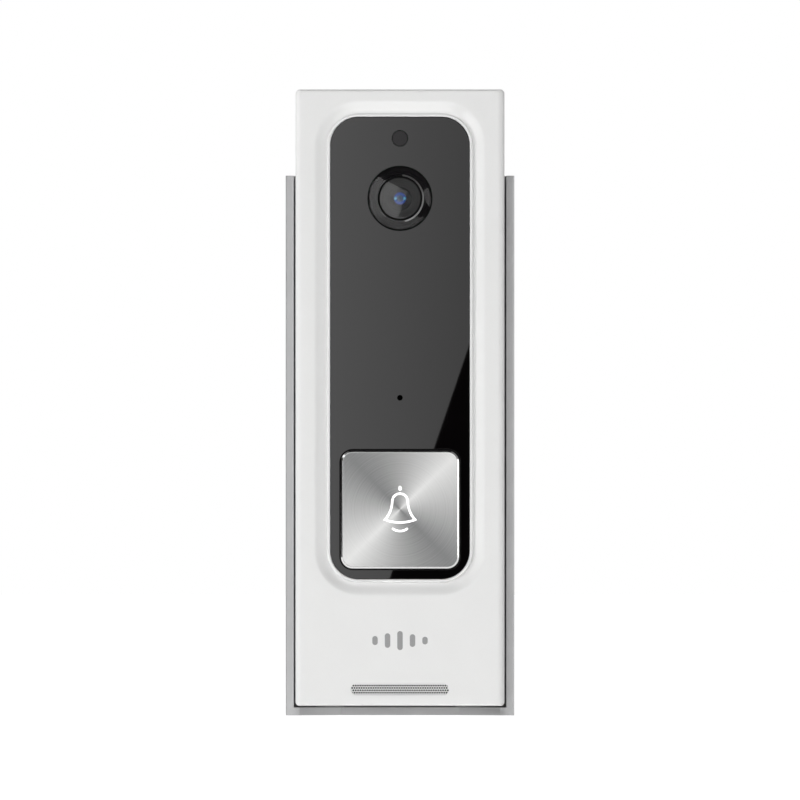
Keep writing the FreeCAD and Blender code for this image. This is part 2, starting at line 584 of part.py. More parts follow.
def front_posts():
    """Bosses inside the face: for the housing screws, the main board and the camera board."""
    posts = [(BOSS_RADIUS, SEAM, HOUSING_SCREW_RADIUS, x, z)
             for x, z in mirrored_pairs(HOUSING_SCREW_X, *HOUSING_SCREW_Z)]
    posts += [(BOSS_RADIUS, MAIN_BOARD_FRONT, SMALL_SCREW_RADIUS, x, z) for x, z in main_board_screws()]
    posts += [(BOSS_RADIUS, CAMERA_BOARD_FRONT, SMALL_SCREW_RADIUS, x, CAMERA_Z)
              for x in (-CAMERA_POST_X, CAMERA_POST_X)]
    return posts


def main_board_screws():
    """Places of the main board's four screws."""
    across, along = MAIN_BOARD_SCREW
    return mirrored_pairs(across / 2, MAIN_BOARD_MIDDLE - along / 2, MAIN_BOARD_MIDDLE + along / 2)


def button_bay(front, back):
    """The room for the button's flange in the ledge behind the fascia."""
    size = BUTTON_FLANGE + 2 * BUTTON_FLANGE_CLEARANCE
    return slab(size, size, BUTTON_RADIUS + BUTTON_FLANGE_CLEARANCE, front, back, 0, BUTTON_Z)


def front_shell():
    """The white front: face with dish, rim, panel pocket, grille slot and bosses."""
    body = face_block()
    body = body.cut(slab(INSIDE_WIDTH, UNIT_HEIGHT - 2 * SHELL_WALL, 0, FACE_INSIDE, SEAM, 0, UNIT_MIDDLE))
    body = body.cut(dish_and_rim())
    pocket = (PANEL_WIDTH + 2 * PANEL_CLEARANCE, PANEL_HEIGHT + 2 * PANEL_CLEARANCE)
    body = body.cut(slab(*pocket, PANEL_RADIUS + PANEL_CLEARANCE, UNIT_FRONT, POCKET_FLOOR, 0, PANEL_MIDDLE))
    body = body.cut(slab(PANEL_WIDTH - 2 * PANEL_LEDGE, PANEL_HEIGHT - 2 * PANEL_LEDGE,
                         PANEL_RADIUS - PANEL_LEDGE, UNIT_FRONT, FACE_INSIDE, 0, PANEL_MIDDLE))
    body = body.cut(button_bay(PANEL_BACK, FACE_INSIDE))
    body = body.cut(slab(*GRILLE_SIZE, GRILLE_SIZE[1] / 2, UNIT_FRONT, SKIN_BACK, 0, GRILLE_Z))
    body = body.cut(slab(MESH_SIZE[0], MESH_SIZE[1], MESH_SIZE[1] / 2, SKIN_BACK, FACE_INSIDE, 0, GRILLE_Z))
    inside = slab(INSIDE_WIDTH + SHELL_WALL, UNIT_HEIGHT - SHELL_WALL, 0, FACE_INSIDE - 0.2,
                  CAMERA_BOARD_FRONT, 0, UNIT_MIDDLE)
    for radius, tip, _, x, z in front_posts():
        body = body.fuse(rod(radius, FACE_INSIDE - 0.2, tip, x, z).common(inside))
    for _, tip, pilot, x, z in front_posts():
        body = body.cut(rod(pilot, FACE_INSIDE + 0.4, tip, x, z))
    return body.removeSplitter()


def housing_gasket():
    """The silicone cord between the front shell and the rear housing."""
    outer = (UNIT_WIDTH - 2 * SEAL_INSET, UNIT_HEIGHT - 2 * SEAL_INSET)
    inner = (outer[0] - 2 * SEAL_SECTION, outer[1] - 2 * SEAL_SECTION)
    return ring_slab(outer, inner, SEAL_CORNER + SEAL_SECTION, SEAL_CORNER, SEAM, SEAM + SEAL_SECTION, 0,
                     UNIT_MIDDLE)


def housing_blank():
    """The rear half's outside, its two chambers, and the bay's floor, which stands into the front shell."""
    body = slab(UNIT_WIDTH, UNIT_HEIGHT, OUTLINE_RADIUS, SEAM, UNIT_BACK, 0, UNIT_MIDDLE)
    back_edges = [e for e in body.Edges if e.BoundBox.YMin > UNIT_BACK - 1e-6]
    body = body.makeChamfer(BACK_EDGE_CHAMFER, back_edges)
    half = INSIDE_WIDTH / 2
    for low, high in ((BAY_TOP + BAY_END_WALL, INSIDE_TOP), (INSIDE_BOTTOM, BAY_BOTTOM - BAY_END_WALL)):
        body = body.cut(block(-half, half, SEAM, BACK_INSIDE, low, high))
    floor_size = (BAY_WIDTH + 2 * BAY_SIDE_WALL, BAY_LENGTH + 2 * BAY_END_WALL)
    return body.fuse(slab(*floor_size, 0, BAY_FLOOR_FRONT, SEAM + 1, 0, BAY_MIDDLE))


def housing_bosses():
    """What stands inside the rear half: screw columns, terminal block, and the bosses of the small screws."""
    root = BACK_INSIDE + 0.5
    inside = slab(INSIDE_WIDTH + 1, UNIT_HEIGHT - 2 * SHELL_WALL + 1, 0, SEAM, root, 0, UNIT_MIDDLE)
    bosses = [rod(COLUMN_RADIUS, SEAM, root, x, z).common(inside)
              for x, z in mirrored_pairs(HOUSING_SCREW_X, *HOUSING_SCREW_Z)]
    half_width = TERMINAL_RECESS[0] / 2 + TERMINAL_BLOCK_WALL
    low = TERMINAL_Z - TERMINAL_RECESS[1] / 2 - TERMINAL_BLOCK_WALL
    bosses.append(block(-half_width, half_width, TERMINAL_FLOOR - TERMINAL_BLOCK_DEPTH, root, low,
                        BAY_BOTTOM - BAY_END_WALL + 0.5))
    boss_root = INSIDE_BOTTOM - 0.5
    bosses.append(Part.makeCylinder(SECURITY_BOSS_RADIUS, UNIT_BOTTOM + SECURITY_BOSS_HEIGHT - boss_root,
                                    Vector(0, SECURITY_Y, boss_root)))
    bosses += [rod(BOSS_RADIUS, CHARGE_BOARD_BACK, root, x, PORT_Z) for x in charge_posts()]
    bosses.append(rod(BOSS_RADIUS, BACK_INSIDE - DOOR_BOSS_LENGTH, root, 0, DOOR_SCREW_Z))
    return bosses


def screw_cuts():
    """Wells, bores and pilot holes of every screw in the rear half."""
    well_radius, well_depth = HOUSING_SCREW_WELL
    well_floor = UNIT_BACK - well_depth
    door_seat = UNIT_BACK - DOOR_SCREW_SINK
    cuts = [Part.makeCylinder(SECURITY_SCREW_RADIUS + SECURITY_BORE_CLEARANCE, SECURITY_BOSS_HEIGHT - 1,
                              Vector(0, SECURITY_Y, UNIT_BOTTOM)),
            rod(SMALL_SCREW_RADIUS, door_seat - SMALL_SCREW_LENGTH, UNIT_BACK, 0, DOOR_SCREW_Z)]
    for x, z in mirrored_pairs(HOUSING_SCREW_X, *HOUSING_SCREW_Z):
        cuts.append(rod(well_radius, well_floor, UNIT_BACK, x, z))
        cuts.append(rod(HOUSING_SCREW_RADIUS + 0.2, SEAM, well_floor, x, z))
    for x in charge_posts():
        cuts.append(rod(SMALL_SCREW_RADIUS, CHARGE_BOARD_BACK, CHARGE_BOARD_BACK + SMALL_SCREW_LENGTH, x,
                        PORT_Z))
    for x in terminal_places():
        cuts.append(rod(TERMINAL_SCREW_RADIUS, TERMINAL_FLOOR - TERMINAL_SCREW_LENGTH, TERMINAL_FLOOR, x,
                        TERMINAL_Z))
    return cuts


def bay_cuts():
    """The battery bay, the seats of its door, its contacts' slots, and the notch for the terminal wires."""
    clear = DOOR_CLEARANCE
    lug_width, lug_height = DOOR_LUG
    tongue_width, tongue_reach = DOOR_TONGUE
    notch_width, notch_height, notch_depth = BAY_WIRE_NOTCH
    door_front = UNIT_BACK - DOOR_THICKNESS
    cuts = [
        slab(BAY_WIDTH, BAY_LENGTH, 0.8, BAY_FLOOR_BACK, UNIT_BACK, 0, BAY_MIDDLE),
        slab(DOOR_WIDTH + 2 * clear, DOOR_HEIGHT + 2 * clear, 1.5, DOOR_LEDGE, UNIT_BACK, 0, BAY_MIDDLE),
        block(-lug_width / 2 - clear, lug_width / 2 + clear, door_front, UNIT_BACK, DOOR_TOP - 1,
              DOOR_TOP + lug_height + clear),
        block(-tongue_width / 2 - clear, tongue_width / 2 + clear, door_front - clear,
              door_front + DOOR_TONGUE_THICKNESS + clear, DOOR_BOTTOM - tongue_reach - clear, DOOR_BOTTOM),
        block(-notch_width / 2, notch_width / 2, BAY_FLOOR_FRONT, BAY_FLOOR_FRONT + notch_depth,
              BAY_BOTTOM - BAY_END_WALL, BAY_BOTTOM - BAY_END_WALL + notch_height),
    ]
    half = TAIL_WIDTH / 2 + TAIL_CLEARANCE
    for side in (-1, 1):
        for end in (-1, 1):
            wall = BAY_MIDDLE + end * BAY_LENGTH / 2
            near, far = sorted((wall, wall - end * (CONTACT_SIZE[1] + TAIL_CLEARANCE)))
            cuts.append(block(side * CELL_X - half, side * CELL_X + half, BAY_FLOOR_FRONT, BAY_FLOOR_BACK,
                              near, far))
    return cuts


def terminal_cuts():
    """The recess for the wired terminals and the slots of their plates' tails."""
    width, height, _ = TERMINAL_RECESS
    cuts = [slab(width, height, 1.0, TERMINAL_FLOOR, UNIT_BACK, 0, TERMINAL_Z)]
    half, thick = TERMINAL_TAIL[0] / 2 + 0.2, TERMINAL_PLATE[1]
    for x in terminal_places():
        cuts.append(block(x - half, x + half, TERMINAL_FLOOR - TERMINAL_BLOCK_DEPTH, TERMINAL_FLOOR,
                          TERMINAL_TAIL_Z - 0.1, TERMINAL_TAIL_Z + thick + 0.1))
    return cuts


def rail_grooves():
    """The two side grooves, open at the bottom, that the bracket's rails run in."""
    grooves = []
    groove_floor = UNIT_WIDTH / 2 - RAIL_REACH - RAIL_CLEARANCE
    for side in (-1, 1):
        near, far = sorted((side * groove_floor, side * (UNIT_WIDTH / 2 + 1)))
        grooves.append(block(near, far, -RAIL_SETBACK - RAIL_WIDTH - RAIL_CLEARANCE,
                             -RAIL_SETBACK + RAIL_CLEARANCE, UNIT_BOTTOM - 1, BRACKET_TOP + RAIL_CLEARANCE))
    return grooves


def rear_housing():
    """The rear half: battery bay, camera and speaker chambers, screw columns, and recesses in the back."""
    body = fused(housing_blank(), *housing_bosses())
    cuts = bay_cuts() + screw_cuts() + terminal_cuts() + rail_grooves() + port_cuts() + [housing_gasket()]
    for cut in cuts:
        body = body.cut(cut)
    return body.removeSplitter()


def housing_screws():
    """Four long screws, sunk in wells in the back."""
    seat = UNIT_BACK - HOUSING_SCREW_WELL[1]
    return group([pan_screw(HOUSING_SCREW_RADIUS, HOUSING_SCREW_LENGTH, HOUSING_SCREW_HEAD, -1, seat, x, z)
                  for x, z in mirrored_pairs(HOUSING_SCREW_X, *HOUSING_SCREW_Z)])


# ---- front panel ------------------------------------------------------------------------------------------
def front_panel():
    """The black fascia, with holes for the camera, light window, microphone and button."""
    body = slab(PANEL_WIDTH, PANEL_HEIGHT, PANEL_RADIUS, PANEL_FRONT, PANEL_BACK, 0, PANEL_MIDDLE)
    aperture = BUTTON_SIZE + 2 * BUTTON_GAP
    body = body.cut(slab(aperture, aperture, BUTTON_RADIUS + BUTTON_GAP, PANEL_FRONT, PANEL_BACK, 0,
                         BUTTON_Z))
    for radius, z in ((CAMERA_GLASS_RADIUS + CAMERA_HOLE_CLEARANCE, CAMERA_Z),
                      (LIGHT_WINDOW_RADIUS + LIGHT_WINDOW_CLEARANCE, LIGHT_WINDOW_Z),
                      (MIC_HOLE_RADIUS, MIC_Z)):
        body = body.cut(rod(radius, PANEL_FRONT, PANEL_BACK, 0, z))
    return body


def panel_tape():
    """The adhesive frame that seals the fascia to its ledge."""
    inner = (PANEL_WIDTH - 2 * PANEL_LEDGE, PANEL_HEIGHT - 2 * PANEL_LEDGE)
    frame = ring_slab((PANEL_WIDTH, PANEL_HEIGHT), inner, PANEL_RADIUS, PANEL_RADIUS - PANEL_LEDGE,
                      PANEL_BACK, POCKET_FLOOR, 0, PANEL_MIDDLE)
    return frame.cut(button_bay(PANEL_BACK, POCKET_FLOOR))


def light_sensor_window():
    """The smoked plug in front of the light sensor, a little behind the fascia's face."""
    return rod(LIGHT_WINDOW_RADIUS, PANEL_FRONT + 0.15, PANEL_BACK + 0.3, 0, LIGHT_WINDOW_Z)


# ---- camera -----------------------------------------------------------------------------------------------
def camera_glass():
    """The domed cover glass."""
    plain = rod(CAMERA_GLASS_RADIUS, PANEL_FRONT, GLASS_BACK, 0, CAMERA_Z)
    crown = dome(CAMERA_GLASS_RADIUS, CAMERA_GLASS_DOME, PANEL_FRONT - CAMERA_GLASS_DOME, 0, CAMERA_Z)
    return fused(plain, crown)


def camera_bezel():
    """The black funnel behind the cover glass, which also carries the lamp board."""
    back = GLASS_BACK + BEZEL_DEPTH
    body = rod(CAMERA_GLASS_RADIUS, GLASS_BACK, PANEL_BACK, 0, CAMERA_Z)
    body = fused(body, rod(CAMERA_GLASS_RADIUS - BEZEL_WALL / 2, PANEL_BACK, back, 0, CAMERA_Z))
    mouth = CAMERA_GLASS_RADIUS - BEZEL_WALL / 2
    throat = BARREL_RADIUS + 0.1
    body = body.cut(cone(mouth, throat, GLASS_BACK, BARREL_NOSE, 0, CAMERA_Z))
    return body.cut(rod(throat, BARREL_NOSE, back, 0, CAMERA_Z))


def lens_barrel():
    """The threaded lens tube with its stepped nose."""
    back = BARREL_NOSE + BARREL_LENGTH
    body = rod(BARREL_RADIUS, BARREL_NOSE, back, 0, CAMERA_Z)
    body = body.cut(cone(BARREL_RADIUS - BARREL_RIM, LENS_RADIUS + BARREL_RIM, BARREL_NOSE, LENS_SEAT, 0,
                         CAMERA_Z))
    body = body.cut(rod(LENS_RADIUS, LENS_SEAT, PUPIL_FRONT, 0, CAMERA_Z))
    return body.cut(rod(PUPIL_RADIUS, PUPIL_FRONT, back, 0, CAMERA_Z))


def lens_front_element():
    """The front glass of the lens."""
    crown = dome(LENS_RADIUS, LENS_DOME, LENS_SEAT - LENS_DOME + 0.2, 0, CAMERA_Z)
    return fused(crown, rod(LENS_RADIUS, LENS_SEAT + 0.2, LENS_SEAT + 0.7, 0, CAMERA_Z))


def lens_coated_element():
    """The coated inner glass, which shows blue through the front one."""
    return rod(PUPIL_RADIUS, PUPIL_FRONT, PUPIL_FRONT + PUPIL_THICKNESS, 0, CAMERA_Z)


def lens_holder():
    """The square socket that the lens screws into."""
    front = CAMERA_BOARD_FRONT - LENS_HOLDER_DEPTH
    body = slab(LENS_HOLDER_SIZE, LENS_HOLDER_SIZE, 1.0, front, CAMERA_BOARD_FRONT, 0, CAMERA_Z)
    body = body.cut(rod(BARREL_RADIUS + 0.05, front, BARREL_NOSE + BARREL_LENGTH, 0, CAMERA_Z))
    cavity = LENS_HOLDER_SIZE - 4
    return body.cut(slab(cavity, cavity, 0.5, BARREL_NOSE + BARREL_LENGTH, CAMERA_BOARD_FRONT, 0, CAMERA_Z))


def image_sensor():
    """The sensor chip on the camera board."""
    width, height, thick = SENSOR_SIZE
    return slab(width, height, 0, CAMERA_BOARD_FRONT - thick, CAMERA_BOARD_FRONT, 0, CAMERA_Z)


def camera_board():
    """The circuit board behind the lens."""
    front, back = CAMERA_BOARD_FRONT, CAMERA_BOARD_FRONT + BOARD_THICKNESS
    body = slab(*CAMERA_BOARD, 1.0, front, back, 0, CAMERA_Z)
    for x in (-CAMERA_POST_X, CAMERA_POST_X):
        body = body.cut(rod(SMALL_SCREW_RADIUS + 0.15, front, back, x, CAMERA_Z))
    return body


def ir_led_board():
    """The lamp board round the lens, behind the fascia."""
    front, back = IR_BOARD_FRONT, IR_BOARD_FRONT + 0.8
    low = CAMERA_Z - IR_BOARD[0] / 2 + 0.5
    body = slab(*IR_BOARD, 2.0, front, back, 0, low + IR_BOARD[1] / 2)
    return body.cut(rod(CAMERA_GLASS_RADIUS - BEZEL_WALL / 2 + 0.05, front, back, 0, CAMERA_Z))


def ir_leds():
    """Six infrared lamps on a circle round the lens."""
    lamps = []
    for angle in IR_LED_ANGLES:
        x = IR_LED_CIRCLE * math.cos(math.radians(angle))
        z = CAMERA_Z + IR_LED_CIRCLE * math.sin(math.radians(angle))
        lamps.append(rod(IR_LED_RADIUS, IR_BOARD_FRONT - IR_LED_HEIGHT, IR_BOARD_FRONT, x, z))
    return group(lamps)


def light_sensor():
    """The light sensor chip, behind its window."""
    return slab(2.0, 2.0, 0, IR_BOARD_FRONT - 0.8, IR_BOARD_FRONT, 0, LIGHT_WINDOW_Z)


# ---- microphone -------------------------------------------------------------------------------------------
def microphone():
    """The microphone can on the main board."""
    width, thick, height = MIC_SIZE
    return slab(width, height, 0.2, MAIN_BOARD_FRONT - thick, MAIN_BOARD_FRONT, 0, MIC_Z)


def microphone_boot():
    """The rubber tube that leads sound from the fascia's hole to the microphone."""
    return tube(MIC_BOOT_RADIUS, MIC_HOLE_RADIUS, PANEL_BACK, MAIN_BOARD_FRONT - MIC_SIZE[1], 0, MIC_Z)


# ---- push button ------------------------------------------------------------------------------------------
def bell_parts():
    """The pictogram's wires in the plane Y = 0: bell outside and inside, knob, and clapper."""
    top = BUTTON_Z + BELL_TOP_RISE
    shoulder = top - BELL_DOME_RADIUS
    mouth = top - BELL_HEIGHT
    waist = Vector(BELL_DOME_RADIUS + 0.13 * BELL_HALF_WIDTH, 0, mouth + 0.32 * BELL_HEIGHT)
    left_waist = Vector(-waist.x, 0, waist.z)
    bell = Part.Wire([
        Part.Arc(Vector(-BELL_DOME_RADIUS, 0, shoulder), Vector(0, 0, top),
                 Vector(BELL_DOME_RADIUS, 0, shoulder)).toShape(),
        Part.Arc(Vector(BELL_DOME_RADIUS, 0, shoulder), waist, Vector(BELL_HALF_WIDTH, 0, mouth)).toShape(),
        Part.Arc(Vector(BELL_HALF_WIDTH, 0, mouth), Vector(0, 0, mouth - BELL_MOUTH_SAG),
                 Vector(-BELL_HALF_WIDTH, 0, mouth)).toShape(),
        Part.Arc(Vector(-BELL_HALF_WIDTH, 0, mouth), left_waist,
                 Vector(-BELL_DOME_RADIUS, 0, shoulder)).toShape(),
    ])
    inside = bell.makeOffset2D(-BELL_STROKE, 2)
    knob_height = BELL_KNOB_HEIGHT + 2 * BELL_KNOB_RADIUS
    knob = outline(2 * BELL_KNOB_RADIUS, knob_height, BELL_KNOB_RADIUS, 0, 0, top + BELL_KNOB_RISE)
    low = mouth - BELL_MOUTH_SAG - BELL_CLAPPER_DROP
    line = Part.Wire([Part.Arc(Vector(-BELL_CLAPPER_HALF, 0, low + BELL_CLAPPER_SAG), Vector(0, 0, low),
                               Vector(BELL_CLAPPER_HALF, 0, low + BELL_CLAPPER_SAG)).toShape()])
    clapper = line.makeOffset2D(BELL_STROKE / 2)
    return bell, inside, knob, clapper


def bell_strokes(front, back):
    """The pictogram's strokes as solids between two planes of Y."""
    bell, inside, knob, clapper = bell_parts()
    through = Vector(0, back - front, 0)
    place = Vector(0, front, 0)
    ring = Part.Face(bell).extrude(through).cut(Part.Face(inside).extrude(through))
    solids = [ring, Part.Face(knob).extrude(through), Part.Face(clapper).extrude(through)]
    for solid in solids:
        solid.translate(place)
    return solids


def button_frame():
    """The bright frame of the button, with a bevelled rim and a floor that carries the plate."""
    body = slab(BUTTON_SIZE, BUTTON_SIZE, BUTTON_RADIUS, BUTTON_FRONT, FRAME_BACK, 0, BUTTON_Z)
    rim = [e for e in body.Edges if e.BoundBox.YMax < BUTTON_FRONT + 1e-6]
    body = body.makeChamfer(BUTTON_RIM * 0.8, rim)
    body = body.cut(slab(PLATE_SIZE, PLATE_SIZE, BUTTON_RADIUS - BUTTON_RIM, BUTTON_FRONT, PLATE_BACK, 0,
                         BUTTON_Z))
    return body.cut(slab(*LIGHT_GUIDE_SIZE, 1.0, PLATE_BACK, FRAME_BACK, 0, PICTOGRAM_Z))


def button_plate():
    """The spun metal plate, with the bell cut through it. The inside of the bell is a solid of its own."""
    body = slab(PLATE_SIZE, PLATE_SIZE, BUTTON_RADIUS - BUTTON_RIM, PLATE_FRONT, PLATE_BACK, 0, BUTTON_Z)
    return body.cut(group(bell_strokes(PLATE_FRONT, PLATE_BACK)))


def bell_light_guide():
    """The milky light guide behind the plate, whose ridges fill the bell's strokes."""
    width, height = LIGHT_GUIDE_SIZE
    gap = 2 * LIGHT_GUIDE_CLEARANCE
    base = slab(width - gap, height - gap, 0.9, PLATE_BACK, PLATE_BACK + LIGHT_GUIDE_THICKNESS, 0,
                PICTOGRAM_Z)
    return fused(base, *bell_strokes(PLATE_FRONT, PLATE_BACK))


def button_carrier():
    """The plastic carrier: neck through the fascia, retaining flange, and the plunger for the switch."""
    neck = BUTTON_SIZE - 2 * BUTTON_RIM
    body = slab(neck, neck, BUTTON_RADIUS - BUTTON_RIM, FRAME_BACK, FLANGE_BACK, 0, BUTTON_Z)
    flange = slab(BUTTON_FLANGE, BUTTON_FLANGE, BUTTON_RADIUS, FLANGE_FRONT, FLANGE_BACK, 0, BUTTON_Z)
    plunger = rod(PLUNGER_RADIUS, FLANGE_BACK - 0.5, STEM_FRONT, 0, BUTTON_Z)
    body = fused(body, flange, plunger)
    for x in (-ICON_LED_SPACING / 2, ICON_LED_SPACING / 2):
        body = body.cut(rod(LIGHT_WINDOW_IN_CARRIER, FRAME_BACK, FLANGE_BACK, x, BUTTON_Z))
    return body


def button_seal():
    """The soft ring on the flange, which meets the back of the fascia when the button is up."""
    inner = BUTTON_FLANGE - 2 * BUTTON_SEAL_WIDTH
    return ring_slab((BUTTON_FLANGE, BUTTON_FLANGE), (inner, inner), BUTTON_RADIUS,
                     BUTTON_RADIUS - BUTTON_SEAL_WIDTH, PANEL_BACK, FLANGE_FRONT, 0, BUTTON_Z)


def button_switch():
    """The tactile switch's body on the main board."""
    body = slab(SWITCH_SIZE, SWITCH_SIZE, 0.4, SWITCH_FRONT, MAIN_BOARD_FRONT, 0, BUTTON_Z)
    well = BUTTON_TRAVEL + 0.5
    return body.cut(rod(SWITCH_STEM_RADIUS + SWITCH_STEM_CLEARANCE, SWITCH_FRONT, SWITCH_FRONT + well, 0,
                        BUTTON_Z))


def switch_stem():
    """The switch's stem, which the plunger pushes."""
    return rod(SWITCH_STEM_RADIUS, STEM_FRONT, SWITCH_FRONT + 0.4, 0, BUTTON_Z)


def icon_leds():
    """Two lamps on the main board that light the bell."""
    width, thick, height = ICON_LED_SIZE
    return group([slab(width, height, 0.2, MAIN_BOARD_FRONT - thick, MAIN_BOARD_FRONT, x, BUTTON_Z)
                  for x in (-ICON_LED_SPACING / 2, ICON_LED_SPACING / 2)])


# ---- boards and what is on them ---------------------------------------------------------------------------
def main_board():
    """The main circuit board."""
    body = slab(*MAIN_BOARD, 1.5, MAIN_BOARD_FRONT, MAIN_BOARD_BACK, 0, MAIN_BOARD_MIDDLE)
    for x, z in main_board_screws():
        body = body.cut(rod(SMALL_SCREW_RADIUS + 0.15, MAIN_BOARD_FRONT, MAIN_BOARD_BACK, x, z))
    return body


def board_screws():
    """Small screws of the main board, camera board and charging board."""
    screws = [low_head_screw(MAIN_BOARD_BACK, x, z) for x, z in main_board_screws()]
    camera_seat = CAMERA_BOARD_FRONT + BOARD_THICKNESS
    screws += [pan_screw(SMALL_SCREW_RADIUS, SMALL_SCREW_LENGTH, SMALL_SCREW_HEAD, -1, camera_seat, x,
                         CAMERA_Z) for x in (-CAMERA_POST_X, CAMERA_POST_X)]
    charge_seat = CHARGE_BOARD_BACK - BOARD_THICKNESS
    screws += [pan_screw(SMALL_SCREW_RADIUS, SMALL_SCREW_LENGTH, SMALL_SCREW_HEAD, 1, charge_seat, x, PORT_Z)
               for x in charge_posts()]
    return group(screws)


def low_head_screw(seat, x, z):
    """A board screw whose thin head fits between the board and the battery bay."""
    thin = min(SMALL_SCREW_HEAD[1], 0.8 * (BAY_FLOOR_FRONT - seat))
    return fused(rod(SMALL_SCREW_RADIUS, seat - 0.6 * SMALL_SCREW_LENGTH, seat, x, z),
                 rod(SMALL_SCREW_HEAD[0], seat, seat + thin, x, z))


def processor_shield():
    """The shield can over the processor."""
    width, thick, height = SHIELD_SIZE
    return slab(width, height, 0.5, MAIN_BOARD_FRONT - thick, MAIN_BOARD_FRONT, 0,
                MIC_Z + MIC_BOOT_RADIUS + SHIELD_GAP + height / 2)


def wifi_module():
    """The radio module, above the processor."""
    width, thick, height = WIFI_SIZE
    low = MIC_Z + MIC_BOOT_RADIUS + 2 * SHIELD_GAP + SHIELD_SIZE[2]
    return slab(width, height, 0.3, MAIN_BOARD_FRONT - thick, MAIN_BOARD_FRONT, WIFI_X, low + height / 2)


def wifi_antenna():
    """The stuck-on antenna under the top wall."""
    width, deep, thick = ANTENNA_SIZE
    middle = (SEAM + BACK_INSIDE) / 2
    return block(-width / 2, width / 2, middle - deep / 2, middle + deep / 2, INSIDE_TOP - thick, INSIDE_TOP)


def flex_sockets():
    """The ribbon's two sockets, on the back of the main board and the front of the camera board."""
    width, deep, height = FLEX_SOCKET
    slot = FLEX_THICKNESS / 2 + FLEX_SOCKET_CLEARANCE
    sockets = []
    for y, top in ((FLEX_MAIN_Y, FLEX_MAIN_TOP), (FLEX_CAMERA_Y, FLEX_CAMERA_TOP)):
        low = top - FLEX_SOCKET_DEPTH
        body = block(-width / 2, width / 2, y - deep / 2, y + deep / 2, low, low + height)
        half = FLEX_WIDTH / 2 + FLEX_SOCKET_CLEARANCE
        sockets.append(body.cut(block(-half, half, y - slot, y + slot, low, top)))
    return group(sockets)


def camera_flex():
    """The ribbon between two boards: down from the camera board, round a bend, and up to the main board."""
    skin = FLEX_THICKNESS / 2
    outer = block(-FLEX_WIDTH / 2, FLEX_WIDTH / 2, FLEX_MAIN_Y - skin, FLEX_CAMERA_Y + skin, FLEX_FLOOR,
                  FLEX_CAMERA_TOP)
    inner = block(-FLEX_WIDTH, FLEX_WIDTH, FLEX_MAIN_Y + skin, FLEX_CAMERA_Y - skin,
                  FLEX_FLOOR + FLEX_THICKNESS, FLEX_CAMERA_TOP + 1)
    outer = outer.makeFillet(FLEX_BEND + skin, lowest_edges_along_x(outer))
    inner = inner.makeFillet(FLEX_BEND - skin, lowest_edges_along_x(inner))
    strip = outer.cut(inner)
    return strip.cut(block(-FLEX_WIDTH, FLEX_WIDTH, FLEX_MAIN_Y - 1, FLEX_MAIN_Y + 1, FLEX_MAIN_TOP,
                           FLEX_CAMERA_TOP + 1))


def lowest_edges_along_x(body):
    """The bottom edges of a block that run along X."""
    return [e for e in body.Edges if e.BoundBox.XLength > 1 and e.BoundBox.ZMax < body.BoundBox.ZMin + 1e-3]


def lead_wires():
    """Wires from the charging board and from the terminals to the main board."""
    charge_front = CHARGE_BOARD_BACK - BOARD_THICKNESS
    start_z = PORT_Z - CHARGE_BOARD[1] / 2 + 2.0
    down_y = charge_front - 2.5
    floor_z = BAY_TOP + BAY_END_WALL + 1.5
    wires = [wire((x, charge_front, start_z), (x, down_y, start_z), (x, down_y, floor_z),
                  (x, MAIN_BOARD_BACK, floor_z)) for x in CHARGE_WIRES_X]
    board_y = (MAIN_BOARD_FRONT + MAIN_BOARD_BACK) / 2
    tail_z = TERMINAL_TAIL_Z + TERMINAL_PLATE[1] / 2
    for x in terminal_places():
        wires.append(wire((x, TERMINAL_TAIL_END, tail_z), (x, TERMINAL_TAIL_END - 2.2, tail_z),
                          (x, BAY_FLOOR_FRONT + 2.9, MAIN_BOARD_BOTTOM - 2.3),
                          (x, board_y, MAIN_BOARD_BOTTOM - 0.7), (x, board_y, MAIN_BOARD_BOTTOM)))
    return group(wires)


def charge_posts():
    """Places across of the charging board's two posts."""
    return (-CHARGE_BOARD_SCREW / 2, CHARGE_BOARD_SCREW / 2)


def charging_board():
    """The small board behind the charging port and the reset button."""
    front, back = CHARGE_BOARD_BACK - BOARD_THICKNESS, CHARGE_BOARD_BACK
    body = slab(*CHARGE_BOARD, 1.0, front, back, 0, PORT_Z)
    for x in charge_posts():
        body = body.cut(rod(SMALL_SCREW_RADIUS + 0.15, front, back, x, PORT_Z))
    return body


def charging_socket():
    """The charging socket's metal shell with its contact tongue, facing out of the back."""
    width, deep, height = SOCKET_SIZE
    mouth = CHARGE_BOARD_BACK + deep
    shell = ring_slab((width, height), (width - 0.6, height - 0.6), height / 2 - 0.05, height / 2 - 0.4,
                      CHARGE_BOARD_BACK, mouth, PORT_X, PORT_Z)
    base = slab(width, height, height / 2 - 0.05, CHARGE_BOARD_BACK, CHARGE_BOARD_BACK + 0.6, PORT_X, PORT_Z)
    tongue = slab(width - 2.6, 0.7, 0, CHARGE_BOARD_BACK + 0.5, mouth - 0.6, PORT_X, PORT_Z)
    return fused(shell, base, tongue)


def reset_switch():
    """The small switch under the reset button."""
    size, high = RESET_SWITCH
    return slab(size, size, 0.3, CHARGE_BOARD_BACK, CHARGE_BOARD_BACK + high, RESET_X, PORT_Z)


def reset_button():
    """The reset button: a cap in the back, a flange that retains it, and a stem down to its switch."""
    cap = rod(RESET_RADIUS, BACK_INSIDE - 1.0, UNIT_BACK - RESET_SETBACK, RESET_X, PORT_Z)
    flange_back = BACK_INSIDE - 0.05
    flange = rod(RESET_RADIUS + RESET_FLANGE, flange_back - 0.7, flange_back, RESET_X, PORT_Z)
    stem_end = CHARGE_BOARD_BACK + RESET_SWITCH[1] + RESET_TRAVEL + 0.05
    stem = rod(0.8, stem_end, BACK_INSIDE, RESET_X, PORT_Z)
    return fused(cap, flange, stem)


